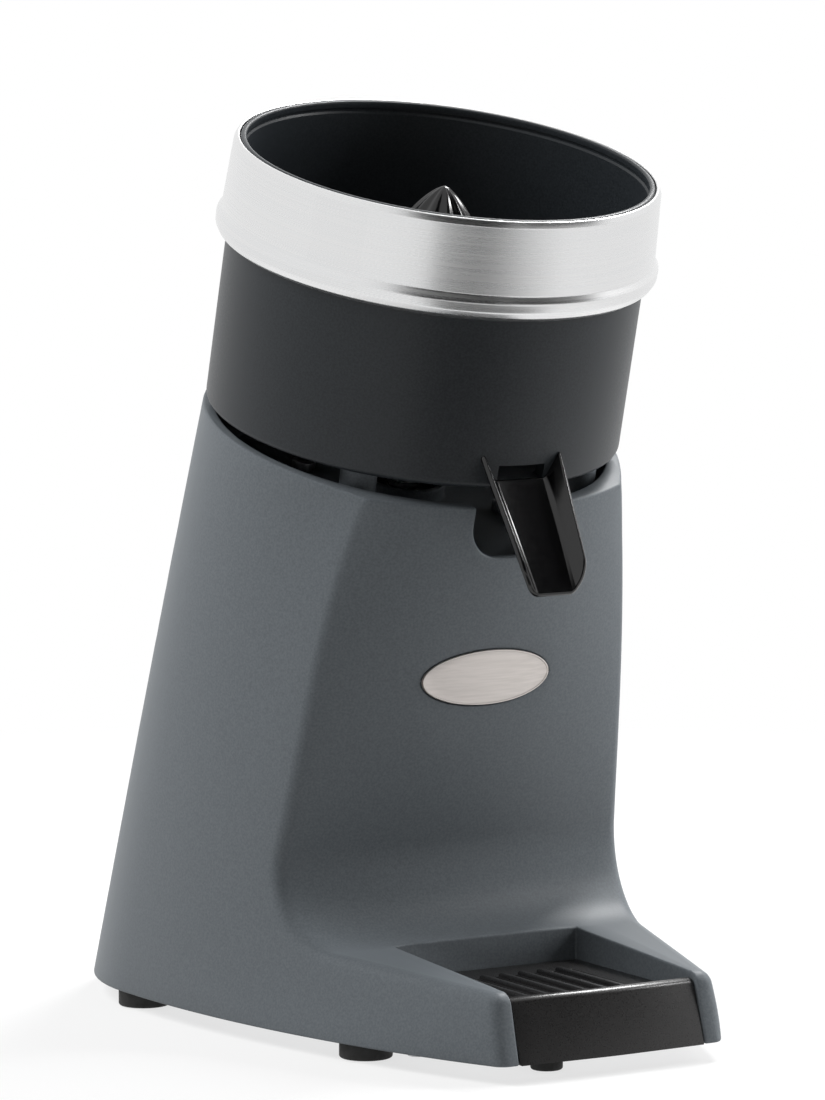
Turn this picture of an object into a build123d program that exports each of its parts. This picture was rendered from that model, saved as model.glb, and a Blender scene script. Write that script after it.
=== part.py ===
from build123d import *
from math import atan, cos, degrees, radians, sin, sqrt, tan
import os

# Motor-driven citrus juicer: a leaning painted casting with a drip tray in its toe,
# an induction motor hung under its deck, and a lift-off bowl with spout, strainer and reamer.
# Millimetres, +Z up, front towards -Y, origin on the bench at the middle of the footprint.

os.makedirs("parts", exist_ok=True)

# Axis of bowl and motor: it leans forward and passes through the middle of the bowl's underside.
bowl_tilt = 14.8
bowl_base_y = -5.1
bowl_base_z = 229.5

# Casting: its outlines from the bench to the rim. Each has a half-width, a back line with round
# corners beside a short flat, a point on the bowed side (how far in from the half-width, and its
# depth), and a narrow front with the side's slope where it ends.
foot_height = 6.5
base_half_width = 94.0
base_back_y = 149.0
base_back_flat = 2.0
base_side = (15.0, -62.7)
toe_half_width = 48.0
toe_front_y = -147.5
base_side_slope = 0.5
low_z = 36.0
low_half_width = 91.5
low_back_y = 140.0
low_back_flat = 2.5
low_side = (21.7, -62.7)
low_front_half_width = 46.5
low_front_y = -140.0
low_side_slope = 0.3
mid_z = 115.0
mid_half_width = 86.5
mid_back_y = 115.5
mid_back_flat = 1.5
mid_side = (15.2, -42.0)
mid_front_half_width = 32.0
mid_front_y = -119.0
mid_side_slope = 0.9
high_z = 165.0
high_half_width = 83.2
high_back_y = 99.5
high_back_flat = 1.2
high_side = (17.3, -51.5)
high_front_half_width = 38.0
high_front_y = -101.0
high_side_slope = 0.9
rim_radius = 79.8
rim_back_flat = 1.2
rim_side = (19.6, -57.5)
rim_front_half_width = 44.0
rim_side_slope = 0.9
rim_gap_back = 0.6
rim_gap_front = 7.3
front_corner_radius = 6.0
face_corner_radius = 6.0
wall = 4.0

# Casting: front face, nearly flat at the toe and rounder towards the rim, where its radius is a
# little more than the rim's, and the toe's sloping top.
toe_top_z = 40.6
toe_slope = 3.45
toe_fillet = 28.0
face_low_y = -26.5
face_low_radius = 2000.0
face_mid_z = 136.0
face_mid_y = -60.1
face_mid_radius = 185.0
face_top_z = 240.0
face_top_y = -91.0
face_top_spare = 10.0

# Casting: well under the bowl, with three posts that carry the bowl on rubber pads.
well_radius = 75.6
well_depth = 29.0
deck_thickness = 5.0
notch_half_width = 16.5
notch_depth = 28.0
notch_corner_radius = 13.0
seat_post_radius = 7.0
seat_post_circle = 66.0
seat_post_angle = 47.5
seat_post_drop = 1.0
seat_pad_radius = 4.5
seat_pad_sink = 2.0
seat_gap = 0.2

# Tray pocket in the toe, drip tray and drip grid.
pocket_half_width = 40.4
pocket_back_y = -58.9
pocket_floor_z = 12.0
pocket_wall = 3.0
tray_clearance = 0.4
tray_wall = 2.0
tray_wall_z = 23.0
tray_front_top_z = 30.0
tray_front_y = -149.0
tray_front_bow = 1.4
tray_front_lean = 19.0
tray_front_thickness = 3.0
tray_edge_radius = 1.4
grid_plate = 2.0
grid_rib_height = 1.6
grid_rib_width = 3.0
grid_rib_count = 6
grid_rib_pitch = 8.4
grid_rib_inset = 18.0
grid_slot_width = 4.0

# Base plate, screws and feet. Screw posts and side feet are placed from the base's widest line inwards.
plate_thickness = 2.0
plate_clearance = 1.4
post_radius = 5.0
post_height = 34.0
post_web = 5.0
post_web_length = 30.0
post_places = [(54.0, 122.0), (14.0, 15.0), (39.0, -100.0)]
screw_radius = 2.0
screw_head_radius = 3.8
screw_head_height = 2.4
base_screw_depth = 16.0
vent_count = 6
vent_pitch = 9.0
vent_width = 4.0
vent_length = 60.0
vent_y = 30.0
side_foot_places = [(12.0, 60.5, 10.0), (32.0, -74.5, 10.0)]
toe_foot_place = (-17.0, -128.5, 6.0)
foot_stem_radius = 2.5
foot_chamfer = 1.0

# Bowl and band, in heights above the bowl's underside along the axis.
bowl_radius = 79.5
bowl_wall = 3.0
bowl_floor = 3.0
bowl_height = 103.5
bowl_edge_radius = 1.2
bowl_lip_radius = 0.9
band_height = 37.9
band_sheet = 1.2
band_rim_radius = 80.1
band_upper_radius = 81.2
band_crease_radius = 82.9
band_bead_radius = 84.3
band_foot_radius = 80.6
band_shoulder_drop = 2.5
band_crease_drop = 28.6
band_bead_drop = 33.0
band_seat_gap = 0.05
strainer_ledge_z = 40.0
strainer_ledge_width = 2.5
chimney_bore = 11.0
chimney_wall = 3.0
chimney_height = 46.0
locating_ring_radius = 56.0
locating_ring_wall = 3.0
locating_ring_depth = 7.0

# Spout: an open channel with slanted sides, from the bowl's wall down to its lip.
spout_top_half_bowl = 18.0
spout_top_half_lip = 14.5
spout_foot_half_bowl = 12.5
spout_foot_half_lip = 9.5
spout_side_bowl = 10.4
spout_side_lip = 9.4
spout_reach = 32.5
spout_drop = 31.0
spout_sheet = 2.4
window_half_width = 10.0
window_top_z = 9.0

# Reamer, its drive hub and the strainer.
bush_height = 1.7
hub_gap = 0.3
hub_plate = 5.0
hub_radius = 20.0
hub_skirt_wall = 2.0
hub_skirt_depth = 26.0
hub_tube_radius = 10.0
hub_tube_depth = 20.0
hub_boss_across = 22.0
hub_boss_height = 12.0
reamer_radius = 31.0
reamer_base_z = 43.0
reamer_apex_z = 93.0
reamer_tip_radius = 1.2
reamer_rise = 1.3
reamer_fullness = 1.4
reamer_rib_count = 10
reamer_valley_share = 0.87
reamer_steps = 12
reamer_step_bias = 1.6
strainer_sheet = 1.2
strainer_hole_radius = 36.0
strainer_edge_gap = 0.5
strainer_collar_height = 6.0
strainer_slot_count = 36
strainer_slot_width = 2.0
strainer_slot_start = 42.0
strainer_slot_end = 69.0

# Motor, with lengths along the axis.
shaft_radius = 6.0
shaft_top_z = 40.0
running_gap = 0.05
drive_pin_radius = 2.0
drive_pin_half_length = 9.0
drive_pin_z = 34.0
drive_gap = 0.3
seal_radius = 13.0
seal_height = 7.0
collar_wall = 3.0
collar_height = 5.0
flinger_radius = 9.5
flinger_height = 2.5
flinger_gap = 2.0
motor_radius = 52.0
bell_wall = 4.0
bell_plate = 6.0
bell_depth = 18.0
stack_height = 42.0
stator_bore = 30.0
air_gap = 0.4
cage_inner = 20.0
cage_height = 6.0
winding_inner = 33.0
winding_outer = 46.0
winding_height = 8.0
bearing_radius = 14.0
bearing_height = 9.0
bearing_hub_wall = 4.0
bolt_radius = 2.0
bolt_count = 4
bolt_circle = 55.5
bolt_ear_radius = 5.0
bolt_ear_height = 8.0
bolt_head_radius = 3.6
bolt_head_height = 3.0
mount_screw_count = 4
mount_screw_start = 45.0
mount_screw_circle = 40.0
mount_screw_radius = 2.5
mount_head_radius = 4.5
mount_head_height = 4.0
fan_radius = 40.0
fan_hub_radius = 11.0
fan_disc = 2.0
fan_blade_height = 10.0
fan_blade_width = 2.0
fan_blade_count = 8
fan_gap = 6.0
clip_radius = 9.5
clip_thickness = 1.2
shaft_tail = 5.0

# Badge, switch, gland and wiring pieces.
badge_z = 136.0
badge_half_width = 28.0
badge_half_height = 11.0
badge_thickness = 1.6
badge_sink = 0.8
switch_y = 40.0
switch_z = 105.0
switch_half_width = 10.5
switch_half_height = 15.0
switch_pad_proud = 1.5
switch_pad_margin = 4.5
switch_pad_depth = 12.0
switch_pad_radius = 4.0
bezel_margin = 2.0
bezel_thickness = 1.6
switch_body_depth = 22.0
switch_wall = 1.6
rocker_side_gap = 0.4
rocker_end_gap = 1.2
rocker_proud = 2.0
rocker_depth = 7.0
rocker_tilt = 8.0
rocker_pin_radius = 1.5
rocker_pin_short = 0.4
gland_z = 40.0
gland_pad_proud = 0.5
gland_pad_depth = 14.0
gland_pad_radius = 13.0
gland_radius = 8.0
gland_bore = 4.0
gland_hex_across = 20.0
gland_hex_length = 5.0
gland_tail_radius = 7.5
gland_tail = 3.5
gland_thread = 10.0
gland_nut_across = 21.0
gland_nut_thickness = 4.0
capacitor_radius = 16.0
capacitor_height = 58.0
capacitor_place = (-46.0, 78.0)
clip_band = 1.5
clip_low = 20.0
clip_high = 32.0
clip_leg_width = 12.0
terminal_size = (34.0, 18.0, 14.0)
terminal_place = (40.0, 88.0)
terminal_way_count = 3
terminal_way_radius = 2.0
terminal_way_depth = 10.0
terminal_way_pitch = 9.0


def both_sides(places):
    """Places left and right, given by how far in they are from the base's widest line."""
    return [(side * (base_half_width - p[0]), *p[1:]) for p in places for side in (-1, 1)]


# Places worked out from the driving sizes.
far = 400.0
cut_over = 1.0
touch = 0.01
axis_plane = Plane(
    origin=(0, bowl_base_y, bowl_base_z),
    x_dir=(1, 0, 0),
    z_dir=(0, -sin(radians(bowl_tilt)), cos(radians(bowl_tilt))),
)
rim_lean = bowl_tilt + degrees(atan((rim_gap_front - rim_gap_back) / (2 * rim_radius)))
rim_plane = Plane(
    origin=axis_plane.from_local_coords(Vector(0, 0, -(rim_gap_back + rim_gap_front) / 2)),
    x_dir=(1, 0, 0),
    z_dir=(0, -sin(radians(rim_lean)), cos(radians(rim_lean))),
)
toe_plane = Plane(
    origin=(0, 0, toe_top_z),
    x_dir=(1, 0, 0),
    z_dir=(0, -sin(radians(toe_slope)), cos(radians(toe_slope))),
)
face_top_radius = rim_radius + face_top_spare
deck_z = -well_depth
deck_under_z = deck_z - deck_thickness
bell_top_z = deck_under_z
stack_top_z = bell_top_z - bell_depth
stack_bottom_z = stack_top_z - stack_height
bell_bottom_z = stack_bottom_z - bell_depth
fan_top_z = bell_bottom_z - fan_gap
fan_bottom_z = fan_top_z - fan_disc - fan_blade_height
shaft_bottom_z = fan_bottom_z - shaft_tail
plate_top_z = foot_height + plate_thickness
hub_under_z = chimney_height + bush_height + hub_gap
hub_top_z = hub_under_z + hub_plate
band_bottom_z = bowl_height - band_height
bowl_upper_radius = band_rim_radius - band_sheet - band_seat_gap
bowl_inner_radius = bowl_radius - bowl_wall
tray_half_width = pocket_half_width - tray_clearance
tray_floor_z = pocket_floor_z + tray_clearance
tray_back_y = pocket_back_y - tray_clearance
foot_places = [*both_sides(side_foot_places), toe_foot_place]
seat_angles = [-90.0 - seat_post_angle, -90.0 + seat_post_angle, 90.0]
switch_pad_x = mid_half_width + switch_pad_proud
rocker_axis_x = switch_pad_x - rocker_depth / 2
gland_pad_y = low_back_y + gland_pad_proud


def on_axis(shape):
    """Place a piece that is modelled upright on the bowl's own axis."""
    return axis_plane.location * shape


def rod(radius, low, high, place=(0.0, 0.0)):
    """A solid cylinder from one height to another."""
    grown = Cylinder(radius, high - low, align=(Align.CENTER, Align.CENTER, Align.MIN))
    return Pos(place[0], place[1], low) * grown


def ring(outer, inner, low, high):
    """A plain ring between two heights."""
    return rod(outer, low, high) - rod(inner, low - cut_over, high + cut_over)


def block(low, high):
    """A box given by its lowest and highest corners."""
    size = [b - a for a, b in zip(low, high)]
    return Pos(*low) * Box(*size, align=(Align.MIN, Align.MIN, Align.MIN))


def hexagon(across, low, high):
    """A hexagonal bar from one height to another."""
    face = RegularPolygon(across / 2, 6, major_radius=False)
    return extrude(Pos(0, 0, low) * face, high - low)


def to_back(shape, z):
    """Turn an upright piece so that it points to the back at some height."""
    return Pos(0, 0, z) * Rot(X=-90) * shape


def circle_places(count, radius, start=0.0):
    """Places evenly spread on a circle."""
    turns = [radians(start + 360.0 * i / count) for i in range(count)]
    return [(radius * cos(turn), radius * sin(turn)) for turn in turns]


def mount_screw_places():
    """Where the screws that hang the motor pass the deck."""
    return circle_places(mount_screw_count, mount_screw_circle, mount_screw_start)


def group(pieces):
    """Separate solids that make one node."""
    return Compound(children=[solid for piece in pieces for solid in piece.solids()])


def back_corner(flat, side_y, corner, side):
    """A back corner of the casting's outline, from the flat to the side."""
    diagonal = corner * sqrt(0.5)
    return ThreePointArc(
        (side * flat, side_y + corner),
        (side * (flat + diagonal), side_y + diagonal),
        (side * (flat + corner), side_y),
    )


def bowed_side(half_width, side_y, bow, front_half, front, slope, side):
    """A side of the casting's outline, leaving the back corner along Y."""
    points = [(side * half_width, side_y), (side * bow[0], bow[1]), (side * front_half, front)]
    return Spline(*points, tangents=((0, -1), (-side * slope, -1)))


def outline(half_width, back, flat, bow, front_half, front, slope, inset):
    """Shield-shaped section: round back, bowed sides and a narrow front, set in from the outside."""
    corner = half_width - flat
    side_y = back - corner
    end_half = front_half - inset
    end_y = front + inset
    bow_in = (half_width - bow[0] - inset, bow[1])
    lines = [
        Line((-flat, back - inset), (flat, back - inset)),
        back_corner(flat, side_y, corner - inset, 1),
        bowed_side(half_width - inset, side_y, bow_in, end_half, end_y, slope, 1),
        Line((end_half, end_y), (-end_half, end_y)),
        bowed_side(half_width - inset, side_y, bow_in, end_half, end_y, slope, -1),
        back_corner(flat, side_y, corner - inset, -1),
    ]
    return make_face(lines)


def base_outline(inset):
    """The casting's outline at its bottom edge, set in from the outside."""
    return outline(
        base_half_width,
        base_back_y,
        base_back_flat,
        base_side,
        toe_half_width,
        toe_front_y,
        base_side_slope,
        inset,
    )


def shell_loft(inset):
    """Column and toe before the front is cut away, set in from the outside."""
    low = outline(
        low_half_width,
        low_back_y,
        low_back_flat,
        low_side,
        low_front_half_width,
        low_front_y,
        low_side_slope,
        inset,
    )
    middle = outline(
        mid_half_width,
        mid_back_y,
        mid_back_flat,
        mid_side,
        mid_front_half_width,
        mid_front_y,
        mid_side_slope,
        inset,
    )
    high = outline(
        high_half_width,
        high_back_y,
        high_back_flat,
        high_side,
        high_front_half_width,
        high_front_y,
        high_side_slope,
        inset,
    )
    top = outline(
        rim_radius,
        rim_radius,
        rim_back_flat,
        rim_side,
        rim_front_half_width,
        -rim_radius,
        rim_side_slope,
        inset,
    )
    level = [(foot_height, base_outline(inset)), (low_z, low), (mid_z, middle), (high_z, high)]
    return loft([*[Pos(0, 0, z) * face for z, face in level], rim_plane.location * top])


def face_section(plane, middle_y, radius, reach):
    """What lies in front of the casting's face at one height, as far to the sides as it reaches."""
    sag = radius - sqrt(radius**2 - reach**2)
    lines = [
        ThreePointArc((-reach, middle_y + sag), (0, middle_y), (reach, middle_y + sag)),
        Line((reach, middle_y + sag), (reach, -far)),
        Line((reach, -far), (-reach, -far)),
        Line((-reach, -far), (-reach, middle_y + sag)),
    ]
    return plane.location * make_face(lines)


def front_space(inset):
    """The space before the face and above the toe, set in from the outside."""
    sections = [
        face_section(toe_plane.offset(-inset), face_low_y + inset, face_low_radius, base_half_width),
        face_section(Plane.XY.offset(face_mid_z), face_mid_y + inset, face_mid_radius, mid_half_width),
        face_section(Plane.XY.offset(face_top_z), face_top_y + inset, face_top_radius, rim_radius),
    ]
    space = loft(sections)
    foot = space.faces().sort_by(Axis.Z)[0].edges().sort_by(Axis.Y)[-1]
    return fillet(foot, toe_fillet + inset)


def tray_front_plan(back_shift, front_shift, half_width):
    """Plan of the tray's bowed front panel at the casting's bottom edge."""
    edge_y = tray_front_y + tray_front_bow
    back_y = edge_y + back_shift
    lines = [
        ThreePointArc(
            (-half_width, edge_y + front_shift),
            (0, tray_front_y + front_shift),
            (half_width, edge_y + front_shift),
        ),
        Line((half_width, edge_y + front_shift), (half_width, back_y)),
        Line((half_width, back_y), (-half_width, back_y)),
        Line((-half_width, back_y), (-half_width, edge_y + front_shift)),
    ]
    return make_face(lines)


def leaning(face, low, high):
    """Raise a plan that is given at the casting's bottom edge along the tray front's lean."""
    lean = Vector(0, tan(radians(tray_front_lean)), 1)
    start = Pos(0, (low - foot_height) * lean.Y, low) * face
    return extrude(start, (high - low) * lean.length, dir=lean)


def tray_front_space():
    """All that lies before the back of the tray's front panel, with a gap behind it."""
    back = tray_front_thickness + tray_clearance
    return leaning(tray_front_plan(back, -far, pocket_half_width), -foot_height, 2 * tray_front_top_z)


def badge_prism():
    """The badge's oval, run from front to back through the casting's face."""
    oval = Plane.XZ.offset(-far) * (Pos(0, badge_z) * Ellipse(badge_half_width, badge_half_height))
    return extrude(oval, 2 * far)


def switch_box(grow, low_x, high_x):
    """A box round the switch's middle, grown past its body."""
    return block(
        (low_x, switch_y - switch_half_width - grow, switch_z - switch_half_height - grow),
        (high_x, switch_y + switch_half_width + grow, switch_z + switch_half_height + grow),
    )


def casting_form():
    """Outer form of column and toe, with rounded corners round the face and at the toe."""
    form = shell_loft(0)
    toe_corners = [e for e in form.edges() if e.center().Y < toe_front_y / 2 and e.length > mid_z]
    form = fillet(toe_corners, front_corner_radius)
    space = front_space(0)
    form = form - space
    sides = [e for e in form.edges() if abs(e.center().X) > rim_front_half_width / 2]
    face_edges = [e for e in sides if space.distance_to(Vertex(*(e @ 0.5))) < touch]
    return fillet(face_edges, face_corner_radius)


def body_casting():
    """Hollow column and toe with deck, well, bowl posts, tray pocket and screw posts."""
    outer = casting_form()
    under_deck = on_axis(block((-far, -far, -far), (far, far, deck_under_z)))
    cavity = (shell_loft(wall) - front_space(wall)) & under_deck
    body = outer - cavity
    inside = [block(
        (-pocket_half_width - pocket_wall, -far, pocket_floor_z - pocket_wall),
        (pocket_half_width + pocket_wall, pocket_back_y + pocket_wall, toe_top_z),
    )]
    for x, y in both_sides(post_places):
        end = x + post_web_length if x > 0 else x - post_web_length
        inside.append(rod(post_radius, plate_top_z, plate_top_z + post_height, (x, y)))
        inside.append(block(
            (min(x, end), y - post_web / 2, plate_top_z),
            (max(x, end), y + post_web / 2, plate_top_z + post_height),
        ))
    gland_low = gland_pad_y - gland_pad_depth
    inside.append(to_back(rod(gland_pad_radius, gland_low, gland_pad_y - wall), gland_z))
    for extra in inside:
        body = body + (extra & outer)
    pads = switch_box(switch_pad_margin, switch_pad_x - switch_pad_depth, switch_pad_x)
    pads = fillet(pads.edges().filter_by(Axis.X), switch_pad_radius)
    body = body + pads
    body = body - switch_box(bezel_margin, switch_pad_x, far)
    body = body + to_back(rod(gland_pad_radius, gland_low, gland_pad_y), gland_z)
    body = body - to_back(rod(gland_pad_radius, gland_pad_y, far), gland_z)
    body = body - block(
        (-pocket_half_width, -far, pocket_floor_z),
        (pocket_half_width, pocket_back_y, toe_top_z),
    )
    body = body - tray_front_space()
    body = body - on_axis(rod(well_radius, deck_z, far))
    for angle in seat_angles:
        place = circle_places(1, seat_post_circle, angle)[0]
        body = body + on_axis(rod(seat_post_radius, deck_z, -seat_post_drop, place))
        pad_low = -seat_post_drop - seat_pad_sink
        body = body - on_axis(rod(seat_pad_radius, pad_low, 0, place))
    body = body + on_axis(rod(seal_radius + collar_wall, deck_z, deck_z + collar_height))
    body = body - on_axis(rod(seal_radius, deck_under_z - cut_over, deck_z + collar_height + cut_over))
    notch = block(
        (-notch_half_width, -2 * rim_radius, -notch_depth),
        (notch_half_width, -well_radius / 2, far),
    )
    low_edges = notch.edges().filter_by(Axis.Y).group_by(Axis.Z)[0]
    body = body - on_axis(fillet(low_edges, notch_corner_radius))
    for place in mount_screw_places():
        body = body - on_axis(rod(mount_screw_radius, deck_under_z - cut_over, deck_z + cut_over, place))
    for x, y in both_sides(post_places):
        body = body - rod(screw_radius, plate_top_z, plate_top_z + base_screw_depth, (x, y))
    body = body - switch_box(0, switch_pad_x - far / 4, switch_pad_x + cut_over)
    body = body - to_back(rod(gland_radius, gland_low - gland_pad_depth, gland_pad_y + cut_over), gland_z)
    return body - (badge_prism() & front_space(badge_sink))


def name_badge():
    """Blank oval plate let into the casting's face."""
    return badge_prism() & (front_space(badge_sink) - front_space(badge_sink - badge_thickness))


def base_plate():
    """Sheet that closes the casting from below, with vents and holes for screws and feet."""
    plate = extrude(Pos(0, 0, foot_height) * base_outline(wall + plate_clearance), plate_thickness)
    plate = plate - tray_front_space()
    for x, y in both_sides(post_places):
        plate = plate - rod(screw_radius, 0, far, (x, y))
    for x, y, _ in foot_places:
        plate = plate - rod(foot_stem_radius, 0, far, (x, y))
    for i in range(vent_count):
        y = vent_y + (i - (vent_count - 1) / 2) * vent_pitch
        plate = plate - Pos(0, y, foot_height) * extrude(SlotOverall(vent_length, vent_width), far)
    return plate


def base_screws():
    """Screws that hold the base plate to the casting's posts."""
    screws = []
    for place in both_sides(post_places):
        head = rod(screw_head_radius, foot_height - screw_head_height, foot_height, place)
        screws.append(head + rod(screw_radius, foot_height, plate_top_z + base_screw_depth, place))
    return group(screws)


def rubber_feet():
    """Round rubber feet, each with a stem pressed through the base plate."""
    feet = []
    for x, y, radius in foot_places:
        pad = rod(radius, 0, foot_height, (x, y))
        pad = chamfer(pad.edges().sort_by(Axis.Z)[0], foot_chamfer)
        feet.append(pad + rod(foot_stem_radius, foot_height, plate_top_z, (x, y)))
    return group(feet)


def seat_pads():
    """Rubber discs in the tops of the casting's posts."""
    low = -seat_post_drop - seat_pad_sink
    places = [circle_places(1, seat_post_circle, angle)[0] for angle in seat_angles]
    return on_axis(group([rod(seat_pad_radius, low, -seat_gap, place) for place in places]))


def drip_tray():
    """Open pan with a bowed front panel that closes the toe."""
    front = tray_front_y + 2 * tray_front_thickness
    pan = block((-tray_half_width, front, tray_floor_z), (tray_half_width, tray_back_y, tray_wall_z))
    inner = tray_half_width - tray_wall
    pan = pan - block((-inner, -far, tray_floor_z + tray_wall), (inner, tray_back_y - tray_wall, far))
    pan = pan - leaning(tray_front_plan(tray_front_thickness, -far, far), 0, 2 * tray_front_top_z)
    plan = tray_front_plan(tray_front_thickness, 0, tray_half_width)
    panel = leaning(plan, foot_height, tray_front_top_z)
    panel = fillet(panel.faces().sort_by(Axis.Z)[-1].edges(), tray_edge_radius)
    return pan + panel


def drip_grid():
    """Slotted plate with ribs that lies on the tray's walls."""
    plate = block(
        (-tray_half_width, -far, tray_wall_z),
        (tray_half_width, tray_back_y, tray_wall_z + grid_plate),
    )
    rib_back = pocket_back_y - grid_rib_inset
    top = tray_wall_z + grid_plate + grid_rib_height
    slot_front = tray_front_y + 2 * grid_rib_inset
    for i in range(grid_rib_count):
        x = (i - (grid_rib_count - 1) / 2) * grid_rib_pitch
        half = grid_rib_width / 2
        plate = plate + block((x - half, -far, tray_wall_z), (x + half, rib_back, top))
    for i in range(grid_rib_count + 1):
        x = (i - grid_rib_count / 2) * grid_rib_pitch
        half = grid_slot_width / 2
        plate = plate - block((x - half, slot_front, 0), (x + half, rib_back, far))
    back = tray_front_thickness + tray_clearance
    return plate - leaning(tray_front_plan(back, -2 * far, far), 0, 2 * tray_front_top_z)


def juice_bowl():
    """Moulded bowl with a central chimney, a ledge for the strainer and a window for the spout."""
    bowl = rod(bowl_radius, 0, band_bottom_z) + rod(bowl_upper_radius, 0, bowl_height)
    bowl = fillet(bowl.edges().group_by(Axis.Z)[0], bowl_edge_radius)
    bowl = bowl - rod(bowl_inner_radius, strainer_ledge_z, far)
    bowl = bowl - rod(bowl_inner_radius - strainer_ledge_width, bowl_floor, far)
    bowl = fillet(bowl.edges().group_by(Axis.Z)[-1], bowl_lip_radius)
    bowl = bowl + rod(chimney_bore + chimney_wall, 0, chimney_height)
    bowl = bowl - rod(chimney_bore, -cut_over, far)
    inner = locating_ring_radius - locating_ring_wall
    bowl = bowl + ring(locating_ring_radius, inner, -locating_ring_depth, 0)
    window = block(
        (-window_half_width, -2 * bowl_radius, bowl_floor),
        (window_half_width, -bowl_radius / 2, window_top_z),
    )
    return on_axis(bowl - window)


def channel_section(reach, top_half, foot_half, side):
    """One cross-section of the spout at some reach past the bowl's wall."""
    low = -spout_drop * reach / spout_reach
    high = low + side
    points = [
        (-top_half, high),
        (-foot_half, low),
        (foot_half, low),
        (top_half, high),
        (top_half - spout_sheet, high),
        (foot_half - spout_sheet / 2, low + spout_sheet),
        (-foot_half + spout_sheet / 2, low + spout_sheet),
        (-top_half + spout_sheet, high),
    ]
    face = make_face(Polyline(points, close=True))
    return Plane(origin=(0, -bowl_radius - reach, 0), x_dir=(1, 0, 0), z_dir=(0, -1, 0)).location * face


def pouring_spout():
    """Open channel fixed before the bowl's window."""
    root = channel_section(-2 * bowl_wall, spout_top_half_bowl, spout_foot_half_bowl, spout_side_bowl)
    lip = channel_section(spout_reach, spout_top_half_lip, spout_foot_half_lip, spout_side_lip)
    return on_axis(loft([root, lip], ruled=True) - rod(bowl_radius, -bowl_height, bowl_height))


def splash_band():
    """Spun metal band round the top of the bowl, with a bead above its foot."""
    top = bowl_height
    crease_z = top - band_crease_drop
    bead_z = top - band_bead_drop
    sheet = band_sheet
    outer = [
        (band_rim_radius, top),
        (band_upper_radius, top - band_shoulder_drop),
        (band_crease_radius, crease_z),
    ]
    inner = [
        (band_crease_radius - sheet, crease_z),
        (band_upper_radius - sheet, top - band_shoulder_drop - sheet / 2),
        (band_rim_radius - sheet, top),
    ]
    foot = (band_foot_radius, band_bottom_z)
    foot_in = (band_foot_radius - sheet, band_bottom_z)
    lines = [
        Polyline(*outer),
        ThreePointArc(outer[-1], (band_bead_radius, bead_z), foot),
        Line(foot, foot_in),
        ThreePointArc(foot_in, (band_bead_radius - sheet, bead_z), inner[0]),
        Polyline(*inner),
        Line(inner[-1], outer[0]),
    ]
    return on_axis(revolve(Plane.XZ * make_face(lines), Axis.Z))


def hub_bush():
    """Plain bearing ring on top of the bowl's chimney."""
    bush_top = chimney_height + bush_height
    return on_axis(ring(chimney_bore + chimney_wall, chimney_bore, chimney_height, bush_top))


def reamer_hub():
    """Drive cap over the chimney: a slotted tube takes the shaft's pin, a hexagon takes the reamer."""
    skirt_low = hub_top_z - hub_skirt_depth
    hub = rod(hub_radius, skirt_low, hub_top_z)
    hub = hub - rod(hub_radius - hub_skirt_wall, skirt_low - cut_over, hub_under_z)
    hub = hub + rod(hub_tube_radius, hub_under_z - hub_tube_depth, hub_under_z)
    hub = hub + hexagon(hub_boss_across, hub_top_z, hub_top_z + hub_boss_height)
    tube_low = hub_under_z - hub_tube_depth - cut_over
    hub = hub - rod(shaft_radius + drive_gap, tube_low, shaft_top_z + drive_gap)
    slot = drive_pin_radius + drive_gap
    slot_top = drive_pin_z + slot
    return on_axis(hub - block((-hub_tube_radius, -slot, tube_low), (hub_tube_radius, slot, slot_top)))


def reamer_section(share):
    """Star-shaped section of the reamer at some share of its height."""
    crest = max(reamer_radius * (1 - share**reamer_rise) ** (1 / reamer_fullness), reamer_tip_radius)
    valley = crest * reamer_valley_share
    crests = circle_places(reamer_rib_count, crest)
    valleys = circle_places(reamer_rib_count, valley, 180.0 / reamer_rib_count)
    star = [place for pair in zip(crests, valleys) for place in pair]
    height = reamer_base_z + share * (reamer_apex_z - reamer_base_z)
    return Pos(0, 0, height) * make_face(Polyline(star, close=True))


def reamer_cone():
    """Ribbed dome that drops over the hub's hexagon."""
    shares = [1 - (1 - i / reamer_steps) ** reamer_step_bias for i in range(reamer_steps + 1)]
    sections = [reamer_section(share) for share in shares]
    cone = loft(sections, ruled=True)
    cone = cone - rod(hub_radius + drive_gap, 0, hub_top_z + seat_gap)
    boss_top = hub_top_z + hub_boss_height + drive_gap
    return on_axis(cone - hexagon(hub_boss_across + 2 * drive_gap, hub_top_z, boss_top))


def pulp_strainer():
    """Slotted sheet ring with an upturned collar, lying on the bowl's ledge."""
    low = strainer_ledge_z + seat_gap
    sheet = ring(bowl_inner_radius - strainer_edge_gap, strainer_hole_radius, low, low + strainer_sheet)
    collar_outer = strainer_hole_radius + strainer_sheet
    sheet = sheet + ring(collar_outer, strainer_hole_radius, low, low + strainer_collar_height)
    slot = block(
        (strainer_slot_start, -strainer_slot_width / 2, 0),
        (strainer_slot_end, strainer_slot_width / 2, far),
    )
    slots = [Rot(Z=360.0 * i / strainer_slot_count) * slot for i in range(strainer_slot_count)]
    return on_axis(sheet - slots)


def motor_shaft():
    """Shaft from the fan up into the hub, cross-drilled for the drive pin."""
    shaft = rod(shaft_radius, shaft_bottom_z, shaft_top_z)
    hole = Pos(0, 0, drive_pin_z) * Rot(Y=90) * rod(drive_pin_radius, -shaft_radius * 2, shaft_radius * 2)
    return on_axis(shaft - hole)


def drive_pin():
    """Cross pin that turns the hub."""
    pin = rod(drive_pin_radius, -drive_pin_half_length, drive_pin_half_length)
    return on_axis(Pos(0, 0, drive_pin_z) * Rot(Y=90) * pin)


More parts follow.
